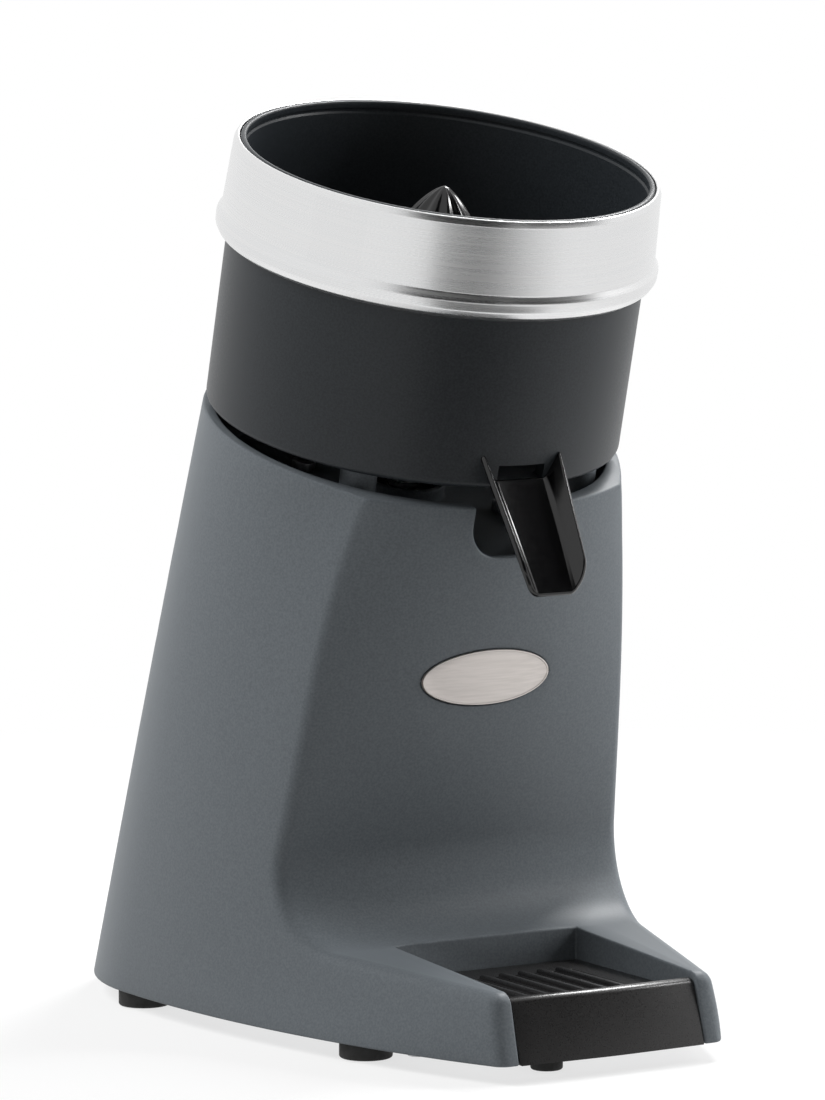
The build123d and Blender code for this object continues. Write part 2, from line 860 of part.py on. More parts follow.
def shaft_seal():
    """Rubber lip seal in the deck's collar."""
    return on_axis(ring(seal_radius, shaft_radius + running_gap, deck_under_z, deck_under_z + seal_height))


def shaft_flinger():
    """Rubber disc on the shaft that throws juice off above the seal."""
    low = deck_z + collar_height + flinger_gap
    return on_axis(ring(flinger_radius, shaft_radius, low, low + flinger_height))


def end_bell(inner_z, outer_z):
    """Cast end cover with a bearing seat and four ears, between the stator and the motor's end."""
    up = 1 if outer_z > inner_z else -1
    plate_z = outer_z - up * bell_plate
    seat_z = plate_z - up * bearing_height
    ear_z = inner_z + up * bolt_ear_height
    bell = rod(motor_radius, min(inner_z, outer_z), max(inner_z, outer_z))
    bell = bell - rod(motor_radius - bell_wall, min(inner_z, plate_z), max(inner_z, plate_z))
    bell = bell + rod(bearing_radius + bearing_hub_wall, min(seat_z, plate_z), max(seat_z, plate_z))
    for place in circle_places(bolt_count, bolt_circle):
        ear = rod(bolt_ear_radius, min(inner_z, ear_z), max(inner_z, ear_z), place)
        bell = bell + (ear - rod(motor_radius - bell_wall / 2, min(inner_z, ear_z), max(inner_z, ear_z)))
        bell = bell - rod(bolt_radius, -far, far, place)
    bell = bell - rod(bearing_radius, min(seat_z, plate_z), max(seat_z, plate_z))
    return bell - rod(shaft_radius + cut_over, -far, far)


def upper_end_bell():
    """Upper motor cover, screwed to the deck from above."""
    bell = end_bell(stack_top_z, bell_top_z)
    for place in mount_screw_places():
        bell = bell - rod(mount_screw_radius, -far, far, place)
    return on_axis(bell)


def lower_end_bell():
    """Lower motor cover."""
    return on_axis(end_bell(stack_bottom_z, bell_bottom_z))


def bearing(low):
    """Ball bearing, as one ring from bore to outer race."""
    return on_axis(ring(bearing_radius, shaft_radius + running_gap, low, low + bearing_height))


def stator_core():
    """Laminated ring clamped between the end bells."""
    return on_axis(ring(motor_radius, stator_bore, stack_bottom_z, stack_top_z))


def stator_winding():
    """Winding heads above and below the core."""
    upper = ring(winding_outer, winding_inner, stack_top_z, stack_top_z + winding_height)
    lower = ring(winding_outer, winding_inner, stack_bottom_z - winding_height, stack_bottom_z)
    return on_axis(group([upper, lower]))


def rotor_core():
    """Laminated rotor on the shaft."""
    return on_axis(ring(stator_bore - air_gap, shaft_radius, stack_bottom_z, stack_top_z))


def rotor_cage():
    """Cast end rings of the rotor's cage."""
    outer = stator_bore - 2 * air_gap
    upper = ring(outer, cage_inner, stack_top_z, stack_top_z + cage_height)
    lower = ring(outer, cage_inner, stack_bottom_z - cage_height, stack_bottom_z)
    return on_axis(group([upper, lower]))


def through_bolts():
    """Four bolts that clamp both end bells on the stator core."""
    low = stack_bottom_z - bolt_ear_height
    bolts = []
    for place in circle_places(bolt_count, bolt_circle):
        head = rod(bolt_head_radius, low - bolt_head_height, low, place)
        bolts.append(head + rod(bolt_radius, low, stack_top_z + bolt_ear_height, place))
    return on_axis(group(bolts))


def mount_screws():
    """Four screws that hang the motor under the deck."""
    screws = []
    for place in mount_screw_places():
        head = rod(mount_head_radius, deck_z, deck_z + mount_head_height, place)
        screws.append(head + rod(mount_screw_radius, bell_top_z - bell_plate, deck_z, place))
    return on_axis(group(screws))


def cooling_fan():
    """Radial fan on the shaft's lower end."""
    fan = rod(fan_hub_radius, fan_bottom_z, fan_top_z) + rod(fan_radius, fan_top_z - fan_disc, fan_top_z)
    for i in range(fan_blade_count):
        blade = block(
            (fan_hub_radius - fan_blade_width, -fan_blade_width / 2, fan_bottom_z),
            (fan_radius - fan_blade_width, fan_blade_width / 2, fan_top_z),
        )
        fan = fan + Rot(Z=360.0 * i / fan_blade_count) * blade
    return on_axis(fan - rod(shaft_radius, -far, far))


def fan_clip():
    """Spring clip that keeps the fan on the shaft."""
    return on_axis(ring(clip_radius, shaft_radius, fan_bottom_z - clip_thickness, fan_bottom_z))


def at_rocker_axis(shape, tilt):
    """Place a piece on the rocker's pivot, tilted about Y."""
    return Pos(rocker_axis_x, switch_y, switch_z) * Rot(Y=tilt) * shape


def switch_housing():
    """Switch body with its bezel, let into the pad on the casting's side."""
    body = switch_box(0, switch_pad_x - switch_body_depth, switch_pad_x)
    body = body + switch_box(bezel_margin, switch_pad_x, switch_pad_x + bezel_thickness)
    body = body - switch_box(-switch_wall, switch_pad_x - switch_body_depth + switch_wall, far)
    hole = Rot(X=90) * rod(rocker_pin_radius + running_gap, -switch_half_width, switch_half_width)
    return body - at_rocker_axis(hole, 0)


def switch_rocker():
    """Rocker with pivot stubs, resting in its off position."""
    half_width = switch_half_width - switch_wall - rocker_side_gap
    half_height = switch_half_height - switch_wall - rocker_end_gap
    high = switch_pad_x + bezel_thickness + rocker_proud - rocker_axis_x
    rocker = block((-rocker_depth / 2, -half_width, -half_height), (high, half_width, half_height))
    dish_radius = half_height**2 / rocker_proud
    dish = Rot(X=90) * rod(dish_radius, -far, far)
    rocker = rocker - Pos(high + dish_radius - rocker_proud / 2, 0, 0) * dish
    stub_half = switch_half_width - rocker_pin_short
    stub = Rot(X=90) * rod(rocker_pin_radius, -stub_half, stub_half)
    return at_rocker_axis(rocker + stub, rocker_tilt)


def cable_gland():
    """Gland where the mains cord would leave the casting; the cord itself is not modelled."""
    gland = rod(gland_radius, gland_pad_y - gland_pad_depth - gland_thread, gland_pad_y)
    gland = gland + hexagon(gland_hex_across, gland_pad_y, gland_pad_y + gland_hex_length)
    end = gland_pad_y + gland_hex_length + gland_tail
    gland = gland + rod(gland_tail_radius, gland_pad_y, end)
    return to_back(gland - rod(gland_bore, -far, far), gland_z)


def gland_nut():
    """Nut that clamps the gland from inside."""
    back = gland_pad_y - gland_pad_depth
    nut = hexagon(gland_nut_across, back - gland_nut_thickness, back)
    return to_back(nut - rod(gland_radius, -far, far), gland_z)


def run_capacitor():
    """Motor capacitor standing on the base plate."""
    return rod(capacitor_radius, plate_top_z, plate_top_z + capacitor_height, capacitor_place)


def capacitor_clip():
    """Sheet strap round the capacitor with a leg down to the base plate."""
    outer = capacitor_radius + clip_band
    strap = rod(outer, plate_top_z + clip_low, plate_top_z + clip_high, capacitor_place)
    x, y = capacitor_place
    leg = block(
        (x - clip_leg_width / 2, y + capacitor_radius / 2, plate_top_z),
        (x + clip_leg_width / 2, y + outer, plate_top_z + clip_high),
    )
    return strap + leg - rod(capacitor_radius, 0, far, capacitor_place)


def terminal_block():
    """Screw terminals on the base plate."""
    x, y = terminal_place
    top = plate_top_z + terminal_size[2]
    body = block(
        (x - terminal_size[0] / 2, y - terminal_size[1] / 2, plate_top_z),
        (x + terminal_size[0] / 2, y + terminal_size[1] / 2, top),
    )
    for i in range(terminal_way_count):
        way = (x + (i - (terminal_way_count - 1) / 2) * terminal_way_pitch, y)
        body = body - rod(terminal_way_radius, top - terminal_way_depth, top + cut_over, way)
    return body


export_step(body_casting(), "parts/body_casting.step")
export_step(name_badge(), "parts/name_badge.step")
export_step(base_plate(), "parts/base_plate.step")
export_step(base_screws(), "parts/base_screws.step")
export_step(rubber_feet(), "parts/rubber_feet.step")
export_step(seat_pads(), "parts/seat_pads.step")
export_step(drip_tray(), "parts/drip_tray.step")
export_step(drip_grid(), "parts/drip_grid.step")
export_step(juice_bowl(), "parts/juice_bowl.step")
export_step(pouring_spout(), "parts/pouring_spout.step")
export_step(splash_band(), "parts/splash_band.step")
export_step(hub_bush(), "parts/hub_bush.step")
export_step(reamer_hub(), "parts/reamer_hub.step")
export_step(reamer_cone(), "parts/reamer_cone.step")
export_step(pulp_strainer(), "parts/pulp_strainer.step")
export_step(motor_shaft(), "parts/motor_shaft.step")
export_step(drive_pin(), "parts/drive_pin.step")
export_step(shaft_seal(), "parts/shaft_seal.step")
export_step(shaft_flinger(), "parts/shaft_flinger.step")
export_step(upper_end_bell(), "parts/upper_end_bell.step")
export_step(lower_end_bell(), "parts/lower_end_bell.step")
export_step(bearing(bell_top_z - bell_plate - bearing_height), "parts/upper_bearing.step")
export_step(bearing(bell_bottom_z + bell_plate), "parts/lower_bearing.step")
export_step(stator_core(), "parts/stator_core.step")
export_step(stator_winding(), "parts/stator_winding.step")
export_step(rotor_core(), "parts/rotor_core.step")
export_step(rotor_cage(), "parts/rotor_cage.step")
export_step(through_bolts(), "parts/through_bolts.step")
export_step(mount_screws(), "parts/mount_screws.step")
export_step(cooling_fan(), "parts/cooling_fan.step")
export_step(fan_clip(), "parts/fan_clip.step")
export_step(switch_housing(), "parts/switch_housing.step")
export_step(switch_rocker(), "parts/switch_rocker.step")
export_step(cable_gland(), "parts/cable_gland.step")
export_step(gland_nut(), "parts/gland_nut.step")
export_step(run_capacitor(), "parts/run_capacitor.step")
export_step(capacitor_clip(), "parts/capacitor_clip.step")
export_step(terminal_block(), "parts/terminal_block.step")
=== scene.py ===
import math

import bmesh
import bpy
from mathutils import Matrix, Vector


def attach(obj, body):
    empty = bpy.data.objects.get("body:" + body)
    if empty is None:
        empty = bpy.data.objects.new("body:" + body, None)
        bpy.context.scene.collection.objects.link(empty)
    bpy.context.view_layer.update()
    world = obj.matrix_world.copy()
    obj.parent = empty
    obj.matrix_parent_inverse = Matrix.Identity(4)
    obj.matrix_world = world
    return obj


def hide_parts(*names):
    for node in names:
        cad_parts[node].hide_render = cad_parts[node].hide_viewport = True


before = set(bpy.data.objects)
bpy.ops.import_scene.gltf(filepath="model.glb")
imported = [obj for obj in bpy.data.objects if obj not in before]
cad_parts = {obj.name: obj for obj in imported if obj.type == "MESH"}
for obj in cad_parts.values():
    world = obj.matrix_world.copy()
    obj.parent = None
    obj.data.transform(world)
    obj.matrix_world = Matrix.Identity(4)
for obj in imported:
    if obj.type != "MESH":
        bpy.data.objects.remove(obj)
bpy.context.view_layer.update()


# Painted casting: a hollow aluminium column with a flat toe, a well for the bowl and a pocket
# for the tray. It is sand cast, its edges are dressed round, and it is sprayed with a fine
# textured metallic grey paint.
def select_only(piece):
    """Makes one object the only selected one."""
    bpy.ops.object.select_all(action="DESELECT")
    piece.select_set(True)
    bpy.context.view_layer.objects.active = piece


def select_parts(piece, kind, test):
    """Selects in edit mode the vertices, edges or faces of a piece that a test picks."""
    bpy.ops.mesh.select_mode(type=kind)
    bpy.ops.mesh.select_all(action="DESELECT")
    mesh = bmesh.from_edit_mesh(piece.data)
    items = {"VERT": mesh.verts, "EDGE": mesh.edges, "FACE": mesh.faces}[kind]
    for item in items:
        if test(item):
            item.select_set(True)
    bmesh.update_edit_mesh(piece.data)


corner_angle = math.radians(35)
smooth_angle = math.radians(40)
flat_angle = math.radians(0.3)
weld_reach = 0.00001


def is_sharp(edge):
    """True for an edge where two faces meet at a plain corner."""
    return len(edge.link_faces) == 2 and edge.calc_face_angle(0.0) > corner_angle


def softened_copy(node, name, edge=0.0, to_round=is_sharp):
    """A merged copy of a solid, its sharp edges rounded as dressing or moulding leaves them."""
    piece = bpy.data.objects.new(name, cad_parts[node].data.copy())
    bpy.context.scene.collection.objects.link(piece)
    piece.data.materials.clear()
    select_only(piece)
    bpy.ops.object.mode_set(mode="EDIT")
    bpy.ops.mesh.select_all(action="SELECT")
    bpy.ops.mesh.customdata_custom_splitnormals_clear()
    bpy.ops.mesh.remove_doubles(threshold=weld_reach)
    if edge:
        bpy.ops.mesh.dissolve_limited(angle_limit=flat_angle)
        select_parts(piece, "EDGE", to_round)
        bpy.ops.mesh.bevel(offset=edge, segments=3, clamp_overlap=False)
    bpy.ops.object.mode_set(mode="OBJECT")
    bpy.ops.object.shade_smooth_by_angle(angle=smooth_angle)
    return piece


def new_finish(name, colour, roughness, metallic=0.0):
    """A material with its even values set on the shader."""
    finish = bpy.data.materials.new(name)
    finish.use_nodes = True
    shader = finish.node_tree.nodes["Principled BSDF"]
    shader.inputs["Base Color"].default_value = (*colour, 1.0)
    shader.inputs["Roughness"].default_value = roughness
    shader.inputs["Metallic"].default_value = metallic
    return finish


def dull(finish, share):
    """Lowers the shine of a plastic, as a used or textured moulding has it."""
    finish.node_tree.nodes["Principled BSDF"].inputs["Specular IOR Level"].default_value = share


def add_node(finish, kind, **values):
    """A new node in a material, with some of its inputs set."""
    node = finish.node_tree.nodes.new(kind)
    for name, value in values.items():
        node.inputs[name].default_value = value
    return node


def join(finish, output, node, name):
    """Links an output to a node's input."""
    finish.node_tree.links.new(output, node.inputs[name])


def speckle(finish, scale, stretch=(1, 1, 1), turn=(0, 0, 0), detail=2.0):
    """Noise in the piece's own space, drawn out where the stretch is small."""
    place = finish.node_tree.nodes.new("ShaderNodeTexCoord")
    drawn_out = [1 / share for share in stretch]
    turned_place = add_node(finish, "ShaderNodeMapping", Rotation=turn, Scale=drawn_out)
    turned_place.vector_type = "TEXTURE"
    noise = add_node(finish, "ShaderNodeTexNoise", Scale=scale, Detail=detail)
    join(finish, place.outputs["Object"], turned_place, "Vector")
    join(finish, turned_place.outputs["Vector"], noise, "Vector")
    return noise.outputs["Fac"]


def tint(finish, pattern, dark, light, low=0.35, high=0.65):
    """Colour that runs between two tones with a pattern."""
    ramp = finish.node_tree.nodes.new("ShaderNodeValToRGB")
    ramp.color_ramp.elements[0].position = low
    ramp.color_ramp.elements[0].color = (*dark, 1.0)
    ramp.color_ramp.elements[1].position = high
    ramp.color_ramp.elements[1].color = (*light, 1.0)
    join(finish, pattern, ramp, "Fac")
    join(finish, ramp.outputs["Color"], finish.node_tree.nodes["Principled BSDF"], "Base Color")


def spread(finish, pattern, start, end, at_start, at_end):
    """A value that runs from one level to another while a pattern runs from start to end."""
    node = finish.node_tree.nodes.new("ShaderNodeMapRange")
    node.inputs["From Min"].default_value = start
    node.inputs["From Max"].default_value = end
    node.inputs["To Min"].default_value = at_start
    node.inputs["To Max"].default_value = at_end
    join(finish, pattern, node, "Value")
    return node.outputs["Result"]


def vary_gloss(finish, pattern, smooth, rough):
    """Roughness that runs between two values with the middle range of a pattern."""
    gloss = spread(finish, pattern, start=0.3, end=0.7, at_start=smooth, at_end=rough)
    join(finish, gloss, finish.node_tree.nodes["Principled BSDF"], "Roughness")


def relief(finish, pattern, depth, strength):
    """Fine surface relief from a pattern, its depth in metres."""
    bump = add_node(finish, "ShaderNodeBump", Strength=strength, Distance=depth)
    join(finish, pattern, bump, "Height")
    join(finish, bump.outputs["Normal"], finish.node_tree.nodes["Principled BSDF"], "Normal")


def dress(piece, finish, body, slot, *nodes):
    """Gives a piece its finish, the body it moves with and the solids it stands for."""
    piece.data.materials.append(finish)
    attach(piece, body)
    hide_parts(*nodes)


grey_paint = new_finish("grey_textured_paint", (0.118, 0.132, 0.144), roughness=0.5)
dull(grey_paint, share=0.25)
flake = speckle(grey_paint, scale=1200.0, detail=3.0)
tint(grey_paint, flake, (0.103, 0.116, 0.127), (0.133, 0.148, 0.161))
vary_gloss(grey_paint, flake, smooth=0.42, rough=0.54)
relief(grey_paint, flake, depth=0.0001, strength=0.15)
casting_round = 0.0009
switch_pad_x = 0.06
switch_pad_low = 0.05
switch_pad_high = 0.16


def is_dressed(edge):
    """True for the casting's plain corners, apart from those round the pad under the switch."""
    on_pad = all(
        v.co.x > switch_pad_x and switch_pad_low < v.co.z < switch_pad_high for v in edge.verts
    )
    return is_sharp(edge) and not on_pad


casting = softened_copy("body_casting", "painted_casting", casting_round, is_dressed)
dress(casting, grey_paint, "housing", "grey_paint", "body_casting")


# Badge: an oval plate of anodised aluminium, with a fine raised rim round a plain brushed field.
# It is stamped, bent to the casting's face and glued into a shallow seat.
badge_half_width = 0.0277
badge_half_height = 0.0107
badge_middle_z = 0.136
badge_drawn_y = -0.13
badge_rim = 0.0006
badge_step = 0.00025
badge_sheet = 0.0011
badge_edge_round = 0.0001
badge_edge_angle = math.radians(50)
badge_field_share = 0.98
badge_rings = 5

badge_metal = new_finish("badge_anodised", (0.58, 0.54, 0.515), roughness=0.42, metallic=1.0)
brushed_field = speckle(badge_metal, scale=900.0, stretch=(0.06, 1, 1), detail=3.0)
tint(badge_metal, brushed_field, (0.535, 0.50, 0.475), (0.625, 0.585, 0.56))
vary_gloss(badge_metal, brushed_field, smooth=0.38, rough=0.48)
relief(badge_metal, brushed_field, depth=0.00002, strength=0.2)

bpy.ops.object.select_all(action="DESELECT")
bpy.ops.mesh.primitive_circle_add(
    vertices=128,
    radius=1.0,
    fill_type="NGON",
    location=(0, badge_drawn_y, badge_middle_z),
    rotation=(math.radians(90), 0, 0),
)
badge = bpy.context.object
badge.name = "badge_plate"
badge.scale = (badge_half_width, badge_half_height, 1)
bpy.ops.object.transform_apply(location=True, rotation=True, scale=True)
bpy.ops.object.mode_set(mode="EDIT")
bpy.ops.mesh.select_mode(type="FACE")
bpy.ops.mesh.select_all(action="SELECT")
bpy.ops.mesh.inset(thickness=badge_rim)
for ring in range(badge_rings, 0, -1):
    bpy.ops.mesh.extrude_region_move(TRANSFORM_OT_translate={"value": (0, 0, 0)})
    shrink = ring / (ring + 1)
    bpy.ops.transform.resize(value=(shrink, 1, shrink), center_override=(0, 0, badge_middle_z))
bpy.ops.object.mode_set(mode="OBJECT")
wrap = badge.modifiers.new("to_face", "SHRINKWRAP")
wrap.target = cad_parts["name_badge"]
wrap.wrap_method = "PROJECT"
wrap.use_project_y = True
bpy.ops.object.modifier_apply(modifier=wrap.name)


def in_badge_field(face):
    """True for a face of the badge inside its rim."""
    middle = face.calc_center_median()
    across = middle.x / (badge_half_width - badge_rim)
    up = (middle.z - badge_middle_z) / (badge_half_height - badge_rim)
    return across**2 + up**2 < badge_field_share


bpy.ops.object.mode_set(mode="EDIT")
select_parts(badge, "FACE", in_badge_field)
bpy.ops.mesh.extrude_region_move(TRANSFORM_OT_translate={"value": (0, badge_step, 0)})
bpy.ops.object.mode_set(mode="OBJECT")
sheet = badge.modifiers.new("plate", "SOLIDIFY")
sheet.thickness = badge_sheet
sheet.offset = -1.0
bpy.ops.object.modifier_apply(modifier=sheet.name)
round_edge = badge.modifiers.new("edge", "BEVEL")
round_edge.width = badge_edge_round
round_edge.segments = 2
round_edge.angle_limit = badge_edge_angle
bpy.ops.object.modifier_apply(modifier=round_edge.name)
bpy.ops.object.shade_smooth_by_angle(angle=smooth_angle)
dress(badge, badge_metal, "housing", "badge_metal", "name_badge")


# Base: a zinc plated sheet with vents closes the casting from below, held by six screws with
# cross recesses. Five moulded rubber feet are pressed through it.
zinc = new_finish("zinc_sheet", (0.50, 0.51, 0.52), roughness=0.42, metallic=1.0)
spangle = speckle(zinc, scale=120.0, detail=4.0)
tint(zinc, spangle, (0.42, 0.43, 0.45), (0.56, 0.57, 0.58))
vary_gloss(zinc, spangle, smooth=0.34, rough=0.5)
relief(zinc, speckle(zinc, scale=900.0), depth=0.00002, strength=0.2)
plate = softened_copy("base_plate", "closing_plate", edge=0.0003)
dress(plate, zinc, "housing", "zinc_sheet", "base_plate")

screw_zinc = new_finish("zinc_screw", (0.45, 0.45, 0.46), roughness=0.36, metallic=1.0)
screw_grain = speckle(screw_zinc, scale=800.0)
tint(screw_zinc, screw_grain, (0.38, 0.38, 0.39), (0.52, 0.52, 0.53))
vary_gloss(screw_zinc, screw_grain, smooth=0.3, rough=0.45)


def cut(piece, cutter):
    """Takes one mesh out of another and removes the cutter."""
    select_only(piece)
    taken = piece.modifiers.new("cut", "BOOLEAN")
    taken.operation = "DIFFERENCE"
    taken.solver = "EXACT"
    taken.object = cutter
    bpy.ops.object.modifier_apply(modifier=taken.name)
    bpy.data.objects.remove(cutter)


def joined(pieces, name):
    """Several meshes as one object."""
    bpy.ops.object.select_all(action="DESELECT")
    for piece in pieces:
        piece.select_set(True)
    bpy.context.view_layer.objects.active = pieces[0]
    bpy.ops.object.join()
    bpy.context.object.name = name
    return bpy.context.object


cross_size = (0.0040, 0.0008, 0.0024)
cross_middle_z = 0.0043
screw_rows = ((0.040, 0.122), (0.080, 0.015), (0.055, -0.100))
cross_bars = []
for x, y in [(side * x, y) for x, y in screw_rows for side in (-1, 1)]:
    for turn in (0.0, math.radians(90)):
        bpy.ops.object.select_all(action="DESELECT")
        bpy.ops.mesh.primitive_cube_add(
            size=1.0, location=(x, y, cross_middle_z), rotation=(0, 0, turn)
        )
        bar = bpy.context.object
        bar.scale = cross_size
        bpy.ops.object.transform_apply(location=True, rotation=True, scale=True)
        cross_bars.append(bar)
screws = softened_copy("base_screws", "plate_screws", edge=0.0004)
for bar in cross_bars:
    cut(screws, bar)
bpy.ops.object.shade_smooth_by_angle(angle=smooth_angle)
dress(screws, screw_zinc, "housing", "zinc_screw", "base_screws")

rubber = new_finish("black_rubber", (0.012, 0.012, 0.012), roughness=0.75)
rubber_dust = speckle(rubber, scale=400.0, detail=4.0)
tint(rubber, rubber_dust, (0.009, 0.009, 0.009), (0.020, 0.020, 0.019))
vary_gloss(rubber, rubber_dust, smooth=0.62, rough=0.85)
relief(rubber, speckle(rubber, scale=1400.0), depth=0.00004, strength=0.3)
foot_height = 0.0065
foot_edge = 0.0009
foot_wall_share = 0.45
foot_hollow = 0.0015
foot_stem = 0.0025
foot_stem_top = 0.0085
flat_normal = 0.99
foot_places = [
    (-0.082, 0.0605, 0.010),
    (0.082, 0.0605, 0.010),
    (-0.062, -0.0745, 0.010),
    (0.062, -0.0745, 0.010),
    (-0.017, -0.1285, 0.006),
]
stem_length = foot_stem_top - foot_height
feet = []
for x, y, radius in foot_places:
    bpy.ops.object.select_all(action="DESELECT")
    bpy.ops.mesh.primitive_cylinder_add(
        vertices=64, radius=radius, depth=foot_height, location=(x, y, foot_height / 2)
    )
    foot = bpy.context.object
    bpy.ops.object.transform_apply(location=True, rotation=True, scale=True)
    bpy.ops.object.mode_set(mode="EDIT")
    select_parts(foot, "EDGE", is_sharp)
    bpy.ops.mesh.bevel(offset=foot_edge, segments=4)
    select_parts(foot, "FACE", lambda face: face.normal.z < -flat_normal)
    bpy.ops.mesh.inset(thickness=radius * foot_wall_share)
    bpy.ops.mesh.extrude_region_move(TRANSFORM_OT_translate={"value": (0, 0, foot_hollow)})
    select_parts(foot, "FACE", lambda face: face.normal.z > flat_normal)
    bpy.ops.mesh.inset(thickness=radius - foot_edge - foot_stem)
    bpy.ops.mesh.extrude_region_move(TRANSFORM_OT_translate={"value": (0, 0, stem_length)})
    bpy.ops.object.mode_set(mode="OBJECT")
    feet.append(foot)
rest_feet = joined(feet, "moulded_feet")
bpy.ops.object.shade_smooth_by_angle(angle=smooth_angle)
dress(rest_feet, rubber, "housing", "black_rubber", "rubber_feet")


# Motor under the deck: cast end covers, varnished laminations, copper winding heads, a cast
# rotor and a fan. None of it shows until the machine is opened, so the solids stay as they are
# and only get their finishes.
def finish_node(node, finish):
    """Gives a solid that stays in place its finish."""
    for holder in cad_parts[node].material_slots:
        holder.material = finish


cast_alloy = new_finish("as_cast_alloy", (0.55, 0.56, 0.57), roughness=0.5, metallic=1.0)
cast_grain = speckle(cast_alloy, scale=600.0, detail=4.0)
tint(cast_alloy, cast_grain, (0.46, 0.47, 0.48), (0.60, 0.61, 0.62))
vary_gloss(cast_alloy, cast_grain, smooth=0.42, rough=0.62)
relief(cast_alloy, cast_grain, depth=0.0001, strength=0.3)
for node in ("upper_end_bell", "lower_end_bell", "rotor_cage"):
    finish_node(node, cast_alloy)

lean_angle = math.radians(14.8)
axis_lean = (lean_angle, 0, 0)
lamination = new_finish("varnished_lamination", (0.16, 0.16, 0.17), roughness=0.45, metallic=0.7)
layers = speckle(lamination, scale=900.0, stretch=(0.01, 0.01, 1), turn=axis_lean)
tint(lamination, layers, (0.10, 0.095, 0.10), (0.22, 0.21, 0.21))
relief(lamination, layers, depth=0.0001, strength=0.5)
for node in ("stator_core", "rotor_core"):
    finish_node(node, lamination)

copper = new_finish("varnished_copper", (0.45, 0.16, 0.06), roughness=0.35, metallic=0.8)
strands = speckle(copper, scale=700.0, stretch=(0.1, 0.1, 1), turn=axis_lean, detail=4.0)
tint(copper, strands, (0.30, 0.095, 0.035), (0.55, 0.21, 0.085))
relief(copper, strands, depth=0.0003, strength=0.6)
finish_node("stator_winding", copper)

ground_steel = new_finish("ground_steel", (0.55, 0.55, 0.55), roughness=0.28, metallic=1.0)
ground_lines = speckle(
    ground_steel, scale=1200.0, stretch=(0.05, 0.05, 1), turn=axis_lean, detail=3.0
)
tint(ground_steel, ground_lines, (0.48, 0.48, 0.49), (0.62, 0.62, 0.62))
vary_gloss(ground_steel, ground_lines, smooth=0.2, rough=0.36)
for node in ("upper_bearing", "lower_bearing", "fan_clip"):
    finish_node(node, ground_steel)

black_plastic = new_finish("matt_black_plastic", (0.014, 0.014, 0.015), roughness=0.5)
dull(black_plastic, share=0.3)
mould_grain = speckle(black_plastic, scale=1600.0, detail=3.0)
tint(black_plastic, mould_grain, (0.011, 0.011, 0.012), (0.022, 0.022, 0.023))
vary_gloss(black_plastic, mould_grain, smooth=0.42, rough=0.58)
relief(black_plastic, mould_grain, depth=0.00005, strength=0.35)
finish_node("cooling_fan", black_plastic)
finish_node("gland_nut", black_plastic)

pale_plastic = new_finish("natural_plastic", (0.70, 0.69, 0.65), roughness=0.45)
flow_marks = speckle(pale_plastic, scale=90.0, detail=3.0)
tint(pale_plastic, flow_marks, (0.64, 0.63, 0.585), (0.73, 0.72, 0.68))
vary_gloss(pale_plastic, flow_marks, smooth=0.38, rough=0.52)
relief(pale_plastic, speckle(pale_plastic, scale=1200.0), depth=0.00003, strength=0.25)
finish_node("terminal_block", pale_plastic)

capacitor_can = new_finish("capacitor_can", (0.60, 0.60, 0.58), roughness=0.4)
can_marks = speckle(capacitor_can, scale=150.0, detail=3.0)
tint(capacitor_can, can_marks, (0.54, 0.54, 0.52), (0.65, 0.65, 0.63))
finish_node("run_capacitor", capacitor_can)
finish_node("capacitor_clip", zinc)
finish_node("through_bolts", screw_zinc)


# Deck of the well: a lip seal round the shaft, a rubber disc that throws juice off it, and pads
# for the bowl. The motor hangs from four cap screws with hexagon sockets, and a cross pin in the
# shaft drives the hub.
bowl_seat = (0, -0.0051, 0.2295)
bowl_axis = Matrix.Translation(bowl_seat) @ Matrix.Rotation(lean_angle, 4, "X")


def set_on_axis(piece):
    """Leans a piece that was modelled upright on to the bowl's axis, with its place in the mesh."""
    select_only(piece)
    piece.matrix_world = bowl_axis @ piece.matrix_world
    bpy.ops.object.transform_apply(location=True, rotation=True, scale=True)


deck_screw_circle = 0.040
socket_radius = 0.0023
socket_depth = 0.005
socket_middle_z = -0.0245
caps = softened_copy("mount_screws", "deck_screws", edge=0.0005)
for turn in (45, 135, 225, 315):
    x = deck_screw_circle * math.cos(math.radians(turn))
    y = deck_screw_circle * math.sin(math.radians(turn))
    bpy.ops.object.select_all(action="DESELECT")
    bpy.ops.mesh.primitive_cylinder_add(
        vertices=6, radius=socket_radius, depth=socket_depth, location=(x, y, socket_middle_z)
    )
    socket = bpy.context.object
    set_on_axis(socket)
    cut(caps, socket)
bpy.ops.object.shade_smooth_by_angle(angle=smooth_angle)
dress(caps, screw_zinc, "housing", "zinc_screw", "mount_screws")

seal = softened_copy("shaft_seal", "lip_seal", edge=0.0004)
dress(seal, rubber, "housing", "black_rubber", "shaft_seal")
flinger = softened_copy("shaft_flinger", "juice_flinger", edge=0.0006)
dress(flinger, rubber, "drive", "black_rubber", "shaft_flinger")
pads = softened_copy("seat_pads", "bowl_pads", edge=0.0006)
dress(pads, rubber, "housing", "black_rubber", "seat_pads")
shaft = softened_copy("motor_shaft", "drive_shaft", edge=0.0008)
dress(shaft, ground_steel, "drive", "bearing_steel", "motor_shaft")
pin = softened_copy("drive_pin", "cross_pin", edge=0.0005)
dress(pin, ground_steel, "drive", "bearing_steel", "drive_pin")


# Switch on the right flank: a moulded housing snapped into a flat pad of the casting.
# A dished rocker of the same black plastic tips in it.
switch_body = softened_copy("switch_housing", "switch_frame", edge=0.0005)
dress(switch_body, black_plastic, "housing", "black_plastic", "switch_housing")
rocker = softened_copy("switch_rocker", "rocker_button", edge=0.0006)
dress(rocker, black_plastic, "rocker", "black_plastic", "switch_rocker")


